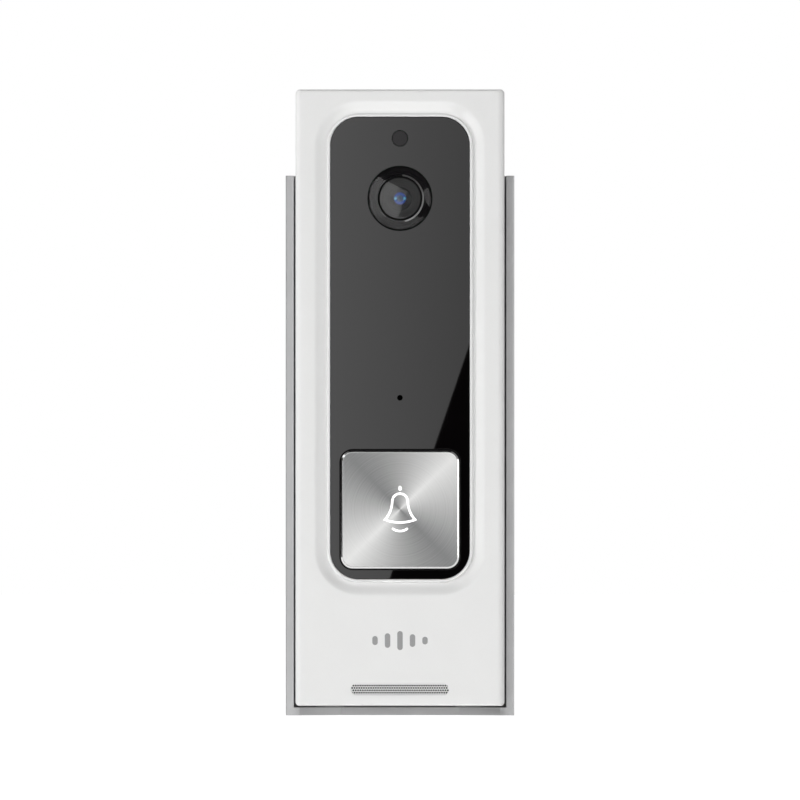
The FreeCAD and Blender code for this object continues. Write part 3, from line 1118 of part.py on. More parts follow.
# ---- charging flap ----------------------------------------------------------------------------------------
def port_cuts():
    """The charging port, the recess of its flap, the flap's root, and the reset button's hole."""
    width, deep, height = SOCKET_SIZE
    root_width, root_height = FLAP_ROOT_SIZE
    opening = (width + 2 * SOCKET_CLEARANCE, height + 2 * SOCKET_CLEARANCE)
    recess_height = FLAP_SIZE[1] + FLAP_CLEARANCE
    return [
        slab(*opening, opening[1] / 2 - 0.05, BACK_INSIDE, UNIT_BACK, PORT_X, PORT_Z),
        slab(FLAP_SIZE[0] + 2 * FLAP_CLEARANCE, recess_height, FLAP_RADIUS + FLAP_CLEARANCE, FLAP_FLOOR,
             UNIT_BACK, PORT_X, FLAP_HINGE_Z + recess_height / 2),
        slab(root_width, root_height, 0.5, FLAP_FLOOR, UNIT_BACK, PORT_X, FLAP_HINGE_Z - root_height / 2),
        rod(0.6, BACK_INSIDE, FLAP_FLOOR, PORT_X, FLAP_HINGE_Z - root_height / 2),
        rod(RESET_RADIUS + RESET_CLEARANCE, BACK_INSIDE, UNIT_BACK, RESET_X, PORT_Z),
    ]


def charging_flap():
    """The silicone flap over the port, with a shallow plug for its mouth and a groove for a fingernail."""
    width, height = FLAP_SIZE
    body = slab(width, height, FLAP_RADIUS, FLAP_INSIDE, UNIT_BACK, PORT_X, PORT_Z)
    plug_height = SOCKET_SIZE[2] - 0.3
    plug_front = FLAP_INSIDE - FLAP_PLUG_HEIGHT
    body = fused(body, slab(SOCKET_SIZE[0] - 1.2, plug_height, plug_height / 2 - 0.1, plug_front,
                            FLAP_INSIDE + 0.2, PORT_X, PORT_Z))
    tab_width, tab_height = FLAP_TAB
    groove = slab(tab_width, tab_height, tab_height / 2 - 0.01, UNIT_BACK - 0.4, UNIT_BACK, PORT_X,
                  PORT_Z + height / 2 - 1.2)
    return body.cut(groove)


def charging_flap_root():
    """The silicone foot that anchors the flap's hinge in the back of the housing."""
    width, height = FLAP_ROOT_SIZE
    middle = FLAP_HINGE_Z - height / 2
    foot = slab(width, height - 0.1, 0.5, FLAP_FLOOR, UNIT_BACK - 0.3, PORT_X, middle)
    barb = rod(0.6, BACK_INSIDE, FLAP_FLOOR + 0.1, PORT_X, middle)
    bulb = rod(1.1, BACK_INSIDE - 0.6, BACK_INSIDE, PORT_X, middle)
    return fused(foot, barb, bulb)


# ---- speaker ----------------------------------------------------------------------------------------------
def speaker_mesh():
    """The perforated steel strip behind the slot."""
    rim = Part.Face(outline(*MESH_SIZE, MESH_SIZE[1] / 2, SKIN_BACK, 0, GRILLE_Z))
    holes = []
    reach = (GRILLE_SIZE[0] - GRILLE_SIZE[1]) / 2
    for row in range(MESH_ROWS):
        z = (row - (MESH_ROWS - 1) / 2) * MESH_PITCH
        count = int((reach + 0.6 * GRILLE_SIZE[1] / 2) / MESH_PITCH)
        for step in range(-count, count + 1):
            x = (step + 0.5 * (row % 2) - 0.25) * MESH_PITCH
            holes.append(rod(MESH_HOLE_RADIUS, SKIN_BACK, MESH_BACK, x, GRILLE_Z + z))
    return rim.extrude(Vector(0, MESH_THICKNESS, 0)).cut(group(holes))


def speaker_membrane():
    """The black water-resistant cloth behind the mesh."""
    return slab(*MESH_SIZE, MESH_SIZE[1] / 2, MESH_BACK, MESH_BACK + MEMBRANE_THICKNESS, 0, GRILLE_Z)


def speaker_tape():
    """The foam frame that joins the speaker to the inside of the face."""
    inner = (SPEAKER_SIZE[0] - 2 * SPEAKER_TAPE_WIDTH, SPEAKER_SIZE[1] - 2 * SPEAKER_TAPE_WIDTH)
    return ring_slab(SPEAKER_SIZE, inner, 1.5, 0.6, FACE_INSIDE, SPEAKER_FRONT, 0, SPEAKER_Z)


def speaker_frame():
    """The speaker's basket."""
    body = slab(*SPEAKER_SIZE, 1.5, SPEAKER_FRONT, SPEAKER_BACK, 0, SPEAKER_Z)
    cavity = [side - 2 * SPEAKER_CONE_MARGIN for side in SPEAKER_SIZE]
    return body.cut(slab(*cavity, 1.0, SPEAKER_FRONT, SPEAKER_BACK - 0.8, 0, SPEAKER_Z))


def speaker_cone():
    """The diaphragm with its raised middle."""
    size = [side - 2 * SPEAKER_CONE_MARGIN for side in SPEAKER_SIZE]
    front = SPEAKER_FRONT + 0.9
    sheet = slab(*size, 1.0, front, front + SPEAKER_CONE_DEPTH, 0, SPEAKER_Z)
    cap = slab(0.45 * size[0], 0.45 * size[1], 2.0, front - 0.5, front + 0.1, 0, SPEAKER_Z)
    return fused(sheet, cap)


def speaker_magnet():
    """The magnet on the back of the speaker."""
    return slab(*SPEAKER_MAGNET, 1.0, SPEAKER_BACK, SPEAKER_BACK + SPEAKER_MAGNET_DEPTH, 0, SPEAKER_Z)


def speaker_contacts():
    """Two leaf contacts from the front of the main board down to the speaker's edge."""
    width, thick = SPEAKER_CONTACT
    foot = SPEAKER_Z + SPEAKER_SIZE[1] / 2
    head = MAIN_BOARD_BOTTOM + SPEAKER_CONTACT_OVERLAP
    return group([block(x - width / 2, x + width / 2, MAIN_BOARD_FRONT - thick, MAIN_BOARD_FRONT, foot, head)
                  for x in (-SPEAKER_CONTACT_SPACING / 2, SPEAKER_CONTACT_SPACING / 2)])


# ---- batteries --------------------------------------------------------------------------------------------
def battery_cell(side):
    """One cell; the right cell's positive end is up and the left cell's is down."""
    x, low = side * CELL_X, BAY_MIDDLE - CELL_LENGTH / 2
    body = Part.makeCylinder(CELL_RADIUS, CELL_LENGTH - CELL_NIB_HEIGHT, Vector(x, CELL_Y, low))
    body = body.makeFillet(0.8, body.Edges[:1] + body.Edges[2:])
    nib = Part.makeCylinder(CELL_NIB_RADIUS, CELL_NIB_HEIGHT + 0.1,
                            Vector(x, CELL_Y, low + CELL_LENGTH - CELL_NIB_HEIGHT - 0.1))
    cell = fused(body, nib)
    if side < 0:
        cell.rotate(Vector(x, CELL_Y, BAY_MIDDLE), Vector(1, 0, 0), 180)
    return cell


def battery_cells():
    """Two round lithium cells, side by side, with opposite ends up."""
    return group([battery_cell(-1), battery_cell(1)])


def contact_tail(x, wall, inward):
    """The strip that takes a contact through the bay's floor to the main board."""
    near, far = sorted((wall, wall + inward * CONTACT_SIZE[1]))
    return block(x - TAIL_WIDTH / 2, x + TAIL_WIDTH / 2, MAIN_BOARD_BACK, CELL_Y, near, far)


def battery_contacts():
    """Flat plates on the bay's end walls, at the cells' positive ends, each with a dimple to the cell."""
    width, thick, deep = CONTACT_SIZE
    plates = []
    for side in (-1, 1):
        wall = BAY_MIDDLE + side * BAY_LENGTH / 2
        near, far = sorted((wall, wall - side * thick))
        plate = block(side * CELL_X - width / 2, side * CELL_X + width / 2, CELL_Y - deep / 2,
                      CELL_Y + deep / 2, near, far)
        reach = BAY_END_ROOM
        dimple = Part.makeCone(2.6, 1.6, reach, Vector(side * CELL_X, CELL_Y, wall), Vector(0, 0, -side))
        plates.append(fused(plate, dimple, contact_tail(side * CELL_X, wall, -side)))
    return group(plates)


def battery_springs():
    """Folded leaf springs at the cells' negative ends."""
    width, thick, deep = CONTACT_SIZE
    leaves = []
    for side in (-1, 1):
        wall = BAY_MIDDLE - side * BAY_LENGTH / 2
        reach = side * BAY_END_ROOM
        half = deep / 2
        path = [(-half, thick / 2), (half, thick / 2), (half, 0.45 * BAY_END_ROOM),
                (-0.4 * half, BAY_END_ROOM - thick / 2)]
        line = [Vector(side * CELL_X - SPRING_WIDTH / 2, CELL_Y + y, wall + reach * rise / BAY_END_ROOM)
                for y, rise in path]
        strip = Part.makePolygon(line).makeOffset2D(thick / 2, 2)
        leaf = Part.Face(strip).extrude(Vector(SPRING_WIDTH, 0, 0))
        leaves.append(fused(leaf, contact_tail(side * CELL_X, wall, side)))
    return group(leaves)


def battery_door():
    """The cover of the battery bay, flush with the back: a tongue at its foot, a screwed lug at its head."""
    front = UNIT_BACK - DOOR_THICKNESS
    body = slab(DOOR_WIDTH, DOOR_HEIGHT, 1.35, front, UNIT_BACK, 0, BAY_MIDDLE)
    lug_width, lug_height = DOOR_LUG
    lug = slab(lug_width, lug_height + 2, DOOR_LUG_RADIUS, front, UNIT_BACK, 0, DOOR_TOP + lug_height / 2 - 1)
    tongue_width, reach = DOOR_TONGUE
    tongue = block(-tongue_width / 2, tongue_width / 2, front, front + DOOR_TONGUE_THICKNESS,
                   DOOR_BOTTOM - reach, DOOR_BOTTOM + 1)
    body = fused(body, lug, tongue)
    grip = [slab(14.0, 0.8, 0.39, UNIT_BACK - 0.4, UNIT_BACK, 0, DOOR_TOP - 6 - 1.8 * k) for k in range(5)]
    body = body.cut(group(grip))
    body = body.cut(rod(SMALL_SCREW_RADIUS + 0.15, front, UNIT_BACK, 0, DOOR_SCREW_Z))
    return body.cut(rod(SMALL_SCREW_HEAD[0] + 0.2, UNIT_BACK - DOOR_SCREW_SINK, UNIT_BACK, 0, DOOR_SCREW_Z))


def battery_door_screw():
    """The screw that holds the battery door."""
    return pan_screw(SMALL_SCREW_RADIUS, SMALL_SCREW_LENGTH, SMALL_SCREW_HEAD, -1,
                     UNIT_BACK - DOOR_SCREW_SINK, 0, DOOR_SCREW_Z)


def battery_door_seal():
    """The flat seal between the door and its ledge."""
    return ring_slab((DOOR_WIDTH, DOOR_HEIGHT), (BAY_WIDTH, BAY_LENGTH), 1.35, 0.8, DOOR_LEDGE,
                     DOOR_LEDGE + DOOR_SEAL, 0, BAY_MIDDLE)


# ---- terminals --------------------------------------------------------------------------------------------
def terminal_places():
    """Places across of the two terminals."""
    return (-TERMINAL_SPACING / 2, TERMINAL_SPACING / 2)


def terminal_plates():
    """The two brass plates on the floor of the terminal recess, with tails through to the inside."""
    width, thick, height = TERMINAL_PLATE
    tail_width, _ = TERMINAL_TAIL
    plates = []
    for x in terminal_places():
        plate = slab(width, height, 0.4, TERMINAL_FLOOR, TERMINAL_FLOOR + thick, x, TERMINAL_Z)
        plate = plate.cut(rod(TERMINAL_SCREW_RADIUS, TERMINAL_FLOOR, TERMINAL_FLOOR + thick, x, TERMINAL_Z))
        tail = block(x - tail_width / 2, x + tail_width / 2, TERMINAL_TAIL_END, TERMINAL_FLOOR + thick,
                     TERMINAL_TAIL_Z, TERMINAL_TAIL_Z + thick)
        plates.append(fused(plate, tail))
    return group(plates)


def terminal_screws():
    """The two screws that clamp the bell wires."""
    seat = TERMINAL_FLOOR + TERMINAL_PLATE[1]
    return group([pan_screw(TERMINAL_SCREW_RADIUS, TERMINAL_SCREW_LENGTH, TERMINAL_SCREW_HEAD, -1, seat, x,
                            TERMINAL_Z) for x in terminal_places()])


NODES = {
    "wall_bracket": wall_bracket,
    "security_screw": security_screw,
    "front_shell": front_shell,
    "rear_housing": rear_housing,
    "housing_gasket": housing_gasket,
    "housing_screws": housing_screws,
    "front_panel": front_panel,
    "panel_tape": panel_tape,
    "light_sensor_window": light_sensor_window,
    "camera_glass": camera_glass,
    "camera_bezel": camera_bezel,
    "lens_barrel": lens_barrel,
    "lens_front_element": lens_front_element,
    "lens_coated_element": lens_coated_element,
    "lens_holder": lens_holder,
    "image_sensor": image_sensor,
    "camera_board": camera_board,
    "ir_led_board": ir_led_board,
    "ir_leds": ir_leds,
    "light_sensor": light_sensor,
    "microphone": microphone,
    "microphone_boot": microphone_boot,
    "button_frame": button_frame,
    "button_plate": button_plate,
    "bell_light_guide": bell_light_guide,
    "button_carrier": button_carrier,
    "button_seal": button_seal,
    "button_switch": button_switch,
    "switch_stem": switch_stem,
    "icon_leds": icon_leds,
    "main_board": main_board,
    "board_screws": board_screws,
    "processor_shield": processor_shield,
    "wifi_module": wifi_module,
    "wifi_antenna": wifi_antenna,
    "flex_sockets": flex_sockets,
    "camera_flex": camera_flex,
    "lead_wires": lead_wires,
    "charging_board": charging_board,
    "charging_socket": charging_socket,
    "charging_flap": charging_flap,
    "charging_flap_root": charging_flap_root,
    "reset_switch": reset_switch,
    "reset_button": reset_button,
    "speaker_mesh": speaker_mesh,
    "speaker_membrane": speaker_membrane,
    "speaker_tape": speaker_tape,
    "speaker_frame": speaker_frame,
    "speaker_cone": speaker_cone,
    "speaker_magnet": speaker_magnet,
    "speaker_contacts": speaker_contacts,
    "battery_cells": battery_cells,
    "battery_contacts": battery_contacts,
    "battery_springs": battery_springs,
    "battery_door": battery_door,
    "battery_door_screw": battery_door_screw,
    "battery_door_seal": battery_door_seal,
    "terminal_plates": terminal_plates,
    "terminal_screws": terminal_screws,
}


def main():
    """Builds every node and writes it to parts/NODE.step."""
    os.makedirs("parts", exist_ok=True)
    for name, build in NODES.items():
        shape = build()
        if not shape.isValid() or not shape.Solids:
            raise ValueError(f"{name} is not a valid solid")
        Part.makeCompound(shape.Solids).exportStep(f"parts/{name}.step")


main()
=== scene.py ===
"""Looks of a battery video doorbell in its aluminium wall bracket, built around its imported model.

Metres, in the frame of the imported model: +X to the right of the person who rings, +Z up, and the wall is the
plane Y = 0 with the doorbell in front of it at negative Y.
"""

import logging
import math
from dataclasses import dataclass
from enum import Enum
from typing import Callable, Dict, List, Mapping, Optional, Sequence, Tuple, Union

import bmesh
import bpy
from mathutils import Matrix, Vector
from mathutils.geometry import tessellate_polygon


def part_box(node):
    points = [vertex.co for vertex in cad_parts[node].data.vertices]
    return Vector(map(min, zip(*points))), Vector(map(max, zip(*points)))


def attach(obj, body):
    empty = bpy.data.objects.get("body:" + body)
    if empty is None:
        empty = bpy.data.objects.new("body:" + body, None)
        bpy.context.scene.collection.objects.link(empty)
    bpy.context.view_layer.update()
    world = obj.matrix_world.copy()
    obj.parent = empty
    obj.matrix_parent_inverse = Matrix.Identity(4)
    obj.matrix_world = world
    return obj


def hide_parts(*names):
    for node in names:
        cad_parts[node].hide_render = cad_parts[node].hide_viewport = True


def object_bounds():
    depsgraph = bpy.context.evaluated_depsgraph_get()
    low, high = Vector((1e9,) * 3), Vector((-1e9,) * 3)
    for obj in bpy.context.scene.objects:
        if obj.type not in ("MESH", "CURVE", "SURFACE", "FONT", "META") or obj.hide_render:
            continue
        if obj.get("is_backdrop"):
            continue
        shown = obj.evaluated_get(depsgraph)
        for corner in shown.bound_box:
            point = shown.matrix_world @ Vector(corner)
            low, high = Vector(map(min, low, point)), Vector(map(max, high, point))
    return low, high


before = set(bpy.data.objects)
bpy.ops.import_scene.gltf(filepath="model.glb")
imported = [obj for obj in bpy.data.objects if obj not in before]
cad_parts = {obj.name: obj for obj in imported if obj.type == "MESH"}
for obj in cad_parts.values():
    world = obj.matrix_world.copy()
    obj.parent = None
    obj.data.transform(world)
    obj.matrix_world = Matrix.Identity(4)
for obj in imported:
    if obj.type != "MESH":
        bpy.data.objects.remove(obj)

RGB = Tuple[float, float, float]
Pair = Tuple[float, float]
Ring = List[Vector]
MM = 0.001
SHARP = math.radians(32.0)
MERGE = 1e-7
TINY = 1e-6
LEAST_RADIUS = 0.02 * MM
ROUND_END_GAP = 0.01 * MM
SQUARE = ((-1.0, -1.0), (1.0, -1.0), (1.0, 1.0), (-1.0, 1.0))
CLOUD_SIZE = 9.0 * MM
GRAIN_SHARE = 0.6
TONE_SPAN = (0.3, 0.7)
EDGE_SPAN = (0.02, 0.3)
BEVEL_SAMPLES = 4
COAT_ROUGHNESS = 0.04
log = logging.getLogger("doorbell")


# ---- node trees ----------------------------------------------------------------------------------------
@dataclass(frozen=True)
class Signal:
    """One output socket, on which sums are written as Python expressions."""

    tree: "Tree"
    socket: bpy.types.NodeSocket

    def math(self, operation: str, *values: object) -> "Signal":
        """A Math node on these values.

        Args:
            operation: The Math node's operation.
            values: Its inputs, in order.

        Returns:
            The node's result.
        """
        made = self.tree.node("ShaderNodeMath", {"operation": operation}, dict(enumerate(values)))
        return Signal(self.tree, made.outputs[0])

    def __add__(self, other: object) -> "Signal":
        """The sum."""
        return self.math("ADD", self, other)

    def __radd__(self, other: object) -> "Signal":
        """The sum, reflected."""
        return self.math("ADD", other, self)

    def __sub__(self, other: object) -> "Signal":
        """The difference."""
        return self.math("SUBTRACT", self, other)

    def __rsub__(self, other: object) -> "Signal":
        """The difference, reflected."""
        return self.math("SUBTRACT", other, self)

    def __mul__(self, other: object) -> "Signal":
        """The product."""
        return self.math("MULTIPLY", self, other)

    def __rmul__(self, other: object) -> "Signal":
        """The product, reflected."""
        return self.math("MULTIPLY", other, self)

    def __truediv__(self, other: object) -> "Signal":
        """The quotient."""
        return self.math("DIVIDE", self, other)

    def __pow__(self, other: object) -> "Signal":
        """The power."""
        return self.math("POWER", self, other)

    def __mod__(self, other: object) -> "Signal":
        """The remainder."""
        return self.math("FLOORED_MODULO", self, other)

    def floor(self) -> "Signal":
        """The whole number below."""
        return self.math("FLOOR", self)

    def sine(self) -> "Signal":
        """The sine."""
        return self.math("SINE", self)

    def cosine(self) -> "Signal":
        """The cosine."""
        return self.math("COSINE", self)

    def ramp(self, low: float, high: float) -> "Signal":
        """From 0 at low to 1 at high, and level outside.

        Args:
            low: Where the ramp starts.
            high: Where it ends.

        Returns:
            The ramp's height.
        """
        made = self.tree.node("ShaderNodeMapRange", {"clamp": True},
                              {"Value": self, "From Min": low, "From Max": high})
        return Signal(self.tree, made.outputs[0])


class Tree:
    """A node tree, with one way to add any node."""

    def __init__(self, tree: bpy.types.NodeTree) -> None:
        """Keeps the tree, emptied."""
        self.tree = tree
        tree.nodes.clear()

    def node(self, kind: str, settings: Optional[Mapping[str, object]] = None,
             inputs: Optional[Mapping[Union[str, int], object]] = None) -> bpy.types.Node:
        """Adds a node.

        Args:
            kind: The node's type.
            settings: Its properties, set first; "stops" are a ramp's places and colours.
            inputs: Values or links of its sockets, by name or number.

        Returns:
            The node.
        """
        made = self.tree.nodes.new(kind)
        for name, value in (settings or {}).items():
            if name == "stops":
                self._set_stops(made.color_ramp, value)
            else:
                setattr(made, name, value)
        for key, value in (inputs or {}).items():
            self._feed(made.inputs[key], value)
        return made

    def _set_stops(self, ramp: bpy.types.ColorRamp, stops: Sequence[Tuple[float, RGB]]) -> None:
        """Gives a colour ramp its stops.

        Args:
            ramp: The ramp.
            stops: The place and colour of each stop.
        """
        while len(ramp.elements) < len(stops):
            ramp.elements.new(1.0)
        for element, (place, colour) in zip(ramp.elements, stops):
            element.position = place
            element.color = (*colour, 1.0)

    def _feed(self, socket: bpy.types.NodeSocket, value: object) -> None:
        """Links a socket to another, or sets its value.

        Args:
            socket: The input socket.
            value: A signal, an output socket or a plain value.
        """
        if isinstance(value, Signal):
            self.tree.links.new(value.socket, socket)
        elif isinstance(value, bpy.types.NodeSocket):
            self.tree.links.new(value, socket)
        elif isinstance(value, tuple) and len(value) == 3 and socket.type == "RGBA":
            socket.default_value = (*value, 1.0)
        else:
            socket.default_value = value

    def signal(self, node: bpy.types.Node, output: Union[str, int] = 0) -> Signal:
        """A node's output as a signal."""
        return Signal(self, node.outputs[output])

    def split(self, vector: object) -> Tuple[Signal, Signal, Signal]:
        """The three parts of a vector."""
        made = self.node("ShaderNodeSeparateXYZ", {}, {0: vector})
        return self.signal(made, 0), self.signal(made, 1), self.signal(made, 2)

    def join(self, x: object, y: object, z: object) -> Signal:
        """A vector from its three parts."""
        return self.signal(self.node("ShaderNodeCombineXYZ", {}, {0: x, 1: y, 2: z}))

    def vector(self, operation: str, *values: object) -> bpy.types.Node:
        """A Vector Math node on these values."""
        return self.node("ShaderNodeVectorMath", {"operation": operation}, dict(enumerate(values)))


class Pattern(Enum):
    """What a surface looks like close to."""

    MOULDED = "spark-eroded mould grain"
    BLASTED = "bead-blasted grain under faint draw lines"
    BRUSHED = "straight drawn lines"
    WOVEN = "woven threads"
    ETCHED = "tracks and pads under a lacquer"
    FOAMED = "open cells"
    POLISHED = "polished, with faint wipe marks"
    RIPPLED = "moulded rings"


class Surface(Tree):
    """A material's node tree."""

    def __init__(self, name: str) -> None:
        """Starts an empty material.

        Args:
            name: The material's name.
        """
        self.material = bpy.data.materials.new(name)
        self.material.use_nodes = True
        super().__init__(self.material.node_tree)
        self.place = self.node("ShaderNodeTexCoord").outputs["Object"]

    def moved(self, scale: Sequence[float], centre: Sequence[float] = (0.0, 0.0, 0.0)) -> Signal:
        """The piece's own coordinates about a centre, scaled.

        Args:
            scale: Multiplies each coordinate.
            centre: What becomes the origin.

        Returns:
            The coordinates.
        """
        shift = tuple(-c * s for c, s in zip(centre, scale))
        made = self.node("ShaderNodeMapping", {}, {"Vector": self.place, "Scale": tuple(scale),
                                                   "Location": shift})
        return self.signal(made)

    def about(self, centre: Sequence[float]) -> Tuple[Signal, Signal, Signal]:
        """Where a point lies about a line along Y: its x and z from the line, and its distance."""
        x, _, z = self.split(self.moved((1.0, 1.0, 1.0), centre))
        return x, z, (x * x + z * z) ** 0.5

    def noise(self, size: float, stretch: Sequence[float] = (1.0, 1.0, 1.0), detail: float = 3.0) -> Signal:
        """Cloudy noise.

        Args:
            size: Of its features, in metres.
            stretch: How many times longer they are each way.
            detail: Of the noise.

        Returns:
            Its strength, about 0.5.
        """
        scaled = self.moved([1.0 / (size * s) for s in stretch])
        return self.signal(self.node("ShaderNodeTexNoise", {}, {"Vector": scaled, "Scale": 1.0,
                                                                "Detail": detail}))

    def mix(self, share: object, first: object, second: object) -> Signal:
        """A colour between two others."""
        made = self.node("ShaderNodeMix", {"data_type": "RGBA"}, {0: share, 6: first, 7: second})
        return self.signal(made, 2)

    def softened(self, radius: float) -> bpy.types.NodeSocket:
        """The normal, with edges rounded to that radius."""
        return self.node("ShaderNodeBevel", {"samples": BEVEL_SAMPLES}, {"Radius": radius}).outputs[0]

    def flat(self) -> bpy.types.NodeSocket:
        """The normal as the mesh has it."""
        return self.node("ShaderNodeNewGeometry").outputs["Normal"]

    def glow(self, strength: object) -> bpy.types.Material:
        """The material as a plain white glow."""
        white = {"Color": (1.0, 1.0, 1.0), "Strength": strength}
        return self.finish(self.node("ShaderNodeEmission", {}, white))

    def finish(self, shader: bpy.types.Node) -> bpy.types.Material:
        """Puts a shader on the output and returns the material."""
        self.node("ShaderNodeOutputMaterial", {}, {"Surface": shader.outputs[0]})
        return self.material


# ---- finishes ------------------------------------------------------------------------------------------
@dataclass(frozen=True)
class Finish:
    """How one material slot looks."""

    name: str
    colour: RGB
    second: RGB
    pattern: Pattern
    size: float
    roughness: float
    swing: float = 0.08
    relief: float = 0.0
    metallic: float = 0.0
    coat: float = 0.0
    ior: float = 1.5
    alpha: float = 1.0
    specular: float = 0.5
    wear: float = 0.0
    edge: float = 0.12 * MM
    glow: float = 0.0
    centre: Tuple[float, float, float] = (0.0, 0.0, 0.0)

    def grain(self, on: Surface) -> Signal:
        """The pattern's strength over the surface, from 0 to 1."""
        return PATTERN_MAKERS[self.pattern](self, on)

    def normal(self, on: Surface, grain: Signal) -> Signal:
        """The normal: softened edges, then the grain's relief."""
        return on.signal(on.node("ShaderNodeBump", {}, {
            "Strength": 1.0, "Distance": self.relief, "Height": grain, "Normal": on.softened(self.edge)}))

    def worn(self, on: Surface) -> Signal:
        """How much of an edge is here, from 0 to 1."""
        alike = on.signal(on.vector("DOT_PRODUCT", on.softened(2.0 * self.edge), on.flat()), "Value")
        return (1.0 - alike).ramp(*EDGE_SPAN)

    def bared(self) -> RGB:
        """The paler colour of a worn edge."""
        return tuple(min(1.0, 1.5 * part + 0.05) for part in self.colour)

    def build(self) -> bpy.types.Material:
        """Makes the material.

        Returns:
            The material, for any piece of this slot.
        """
        on = Surface(self.name)
        grain = self.grain(on)
        cloud = on.noise(CLOUD_SIZE, detail=2.0)
        share = GRAIN_SHARE * grain + (1.0 - GRAIN_SHARE) * cloud
        tone = on.mix(share.ramp(*TONE_SPAN), self.colour, self.second)
        if self.wear:
            tone = on.mix(self.wear * self.worn(on), tone, self.bared())
        inputs = {"Base Color": tone, "Roughness": self.roughness + self.swing * (grain - 0.5),
                  "Metallic": self.metallic, "IOR": self.ior, "Alpha": self.alpha,
                  "Specular IOR Level": self.specular,
                  "Coat Weight": self.coat, "Coat Roughness": COAT_ROUGHNESS,
                  "Normal": self.normal(on, grain)}
        if self.glow:
            inputs.update({"Emission Color": tone, "Emission Strength": self.glow})
        return on.finish(on.node("ShaderNodeBsdfPrincipled", {}, inputs))


def moulded(finish: Finish, on: Surface) -> Signal:
    """Fine even grain of a spark-eroded mould."""
    return on.noise(finish.size, detail=4.0)


def blasted(finish: Finish, on: Surface) -> Signal:
    """Fine grain with faint lines along the height."""
    return 0.65 * on.noise(finish.size, detail=5.0) + 0.35 * on.noise(finish.size, (1.0, 1.0, 60.0))


def brushed(finish: Finish, on: Surface) -> Signal:
    """Fine lines along the width."""
    return on.noise(finish.size, (50.0, 1.0, 1.0), detail=4.0)


def woven(finish: Finish, on: Surface) -> Signal:
    """Threads over and under each other.

    Args:
        finish: The finish it is for.
        on: The material being made.

    Returns:
        The strength of the pattern, from 0 to 1.
    """
    turn = 2.0 * math.pi / finish.size
    x, _, z = on.split(on.moved((turn, turn, turn)))
    return 0.5 + 0.25 * x.sine() + 0.25 * z.sine()


def etched(finish: Finish, on: Surface) -> Signal:
    """Copper tracks that show through the lacquer of a board.

    Args:
        finish: The finish it is for.
        on: The material being made.

    Returns:
        The strength of the pattern, from 0 to 1.
    """
    painted_glints = on.node("ShaderNodeTexVoronoi", {"distance": "MANHATTAN", "feature": "F1"},
                    {"Vector": on.moved([1.0 / finish.size] * 3), "Scale": 1.0, "Randomness": 0.6})
    lines = on.signal(painted_glints, "Distance") * 9.0
    return lines.sine().ramp(0.1, 0.5)


def foamed(finish: Finish, on: Surface) -> Signal:
    """Open cells of a foam or a rough skin."""
    cells = on.node("ShaderNodeTexVoronoi", {"feature": "F1"},
                    {"Vector": on.moved([1.0 / finish.size] * 3), "Scale": 1.0})
    return on.signal(cells, "Distance")


def polished(finish: Finish, on: Surface) -> Signal:
    """Broad faint smears and a few fine ones."""
    return 0.7 * on.noise(finish.size, (3.0, 3.0, 1.0)) + 0.3 * on.noise(0.1 * finish.size, (1.0, 1.0, 8.0))


def rippled(finish: Finish, on: Surface) -> Signal:
    """Fine rings about the finish's centre."""
    _, _, radius = on.about(finish.centre)
    return 0.5 + 0.5 * (radius * (2.0 * math.pi / finish.size)).sine()


PATTERN_MAKERS: Dict[Pattern, Callable[[Finish, Surface], Signal]] = {
    Pattern.MOULDED: moulded, Pattern.BLASTED: blasted, Pattern.BRUSHED: brushed, Pattern.WOVEN: woven,
    Pattern.ETCHED: etched, Pattern.FOAMED: foamed, Pattern.POLISHED: polished, Pattern.RIPPLED: rippled,
}


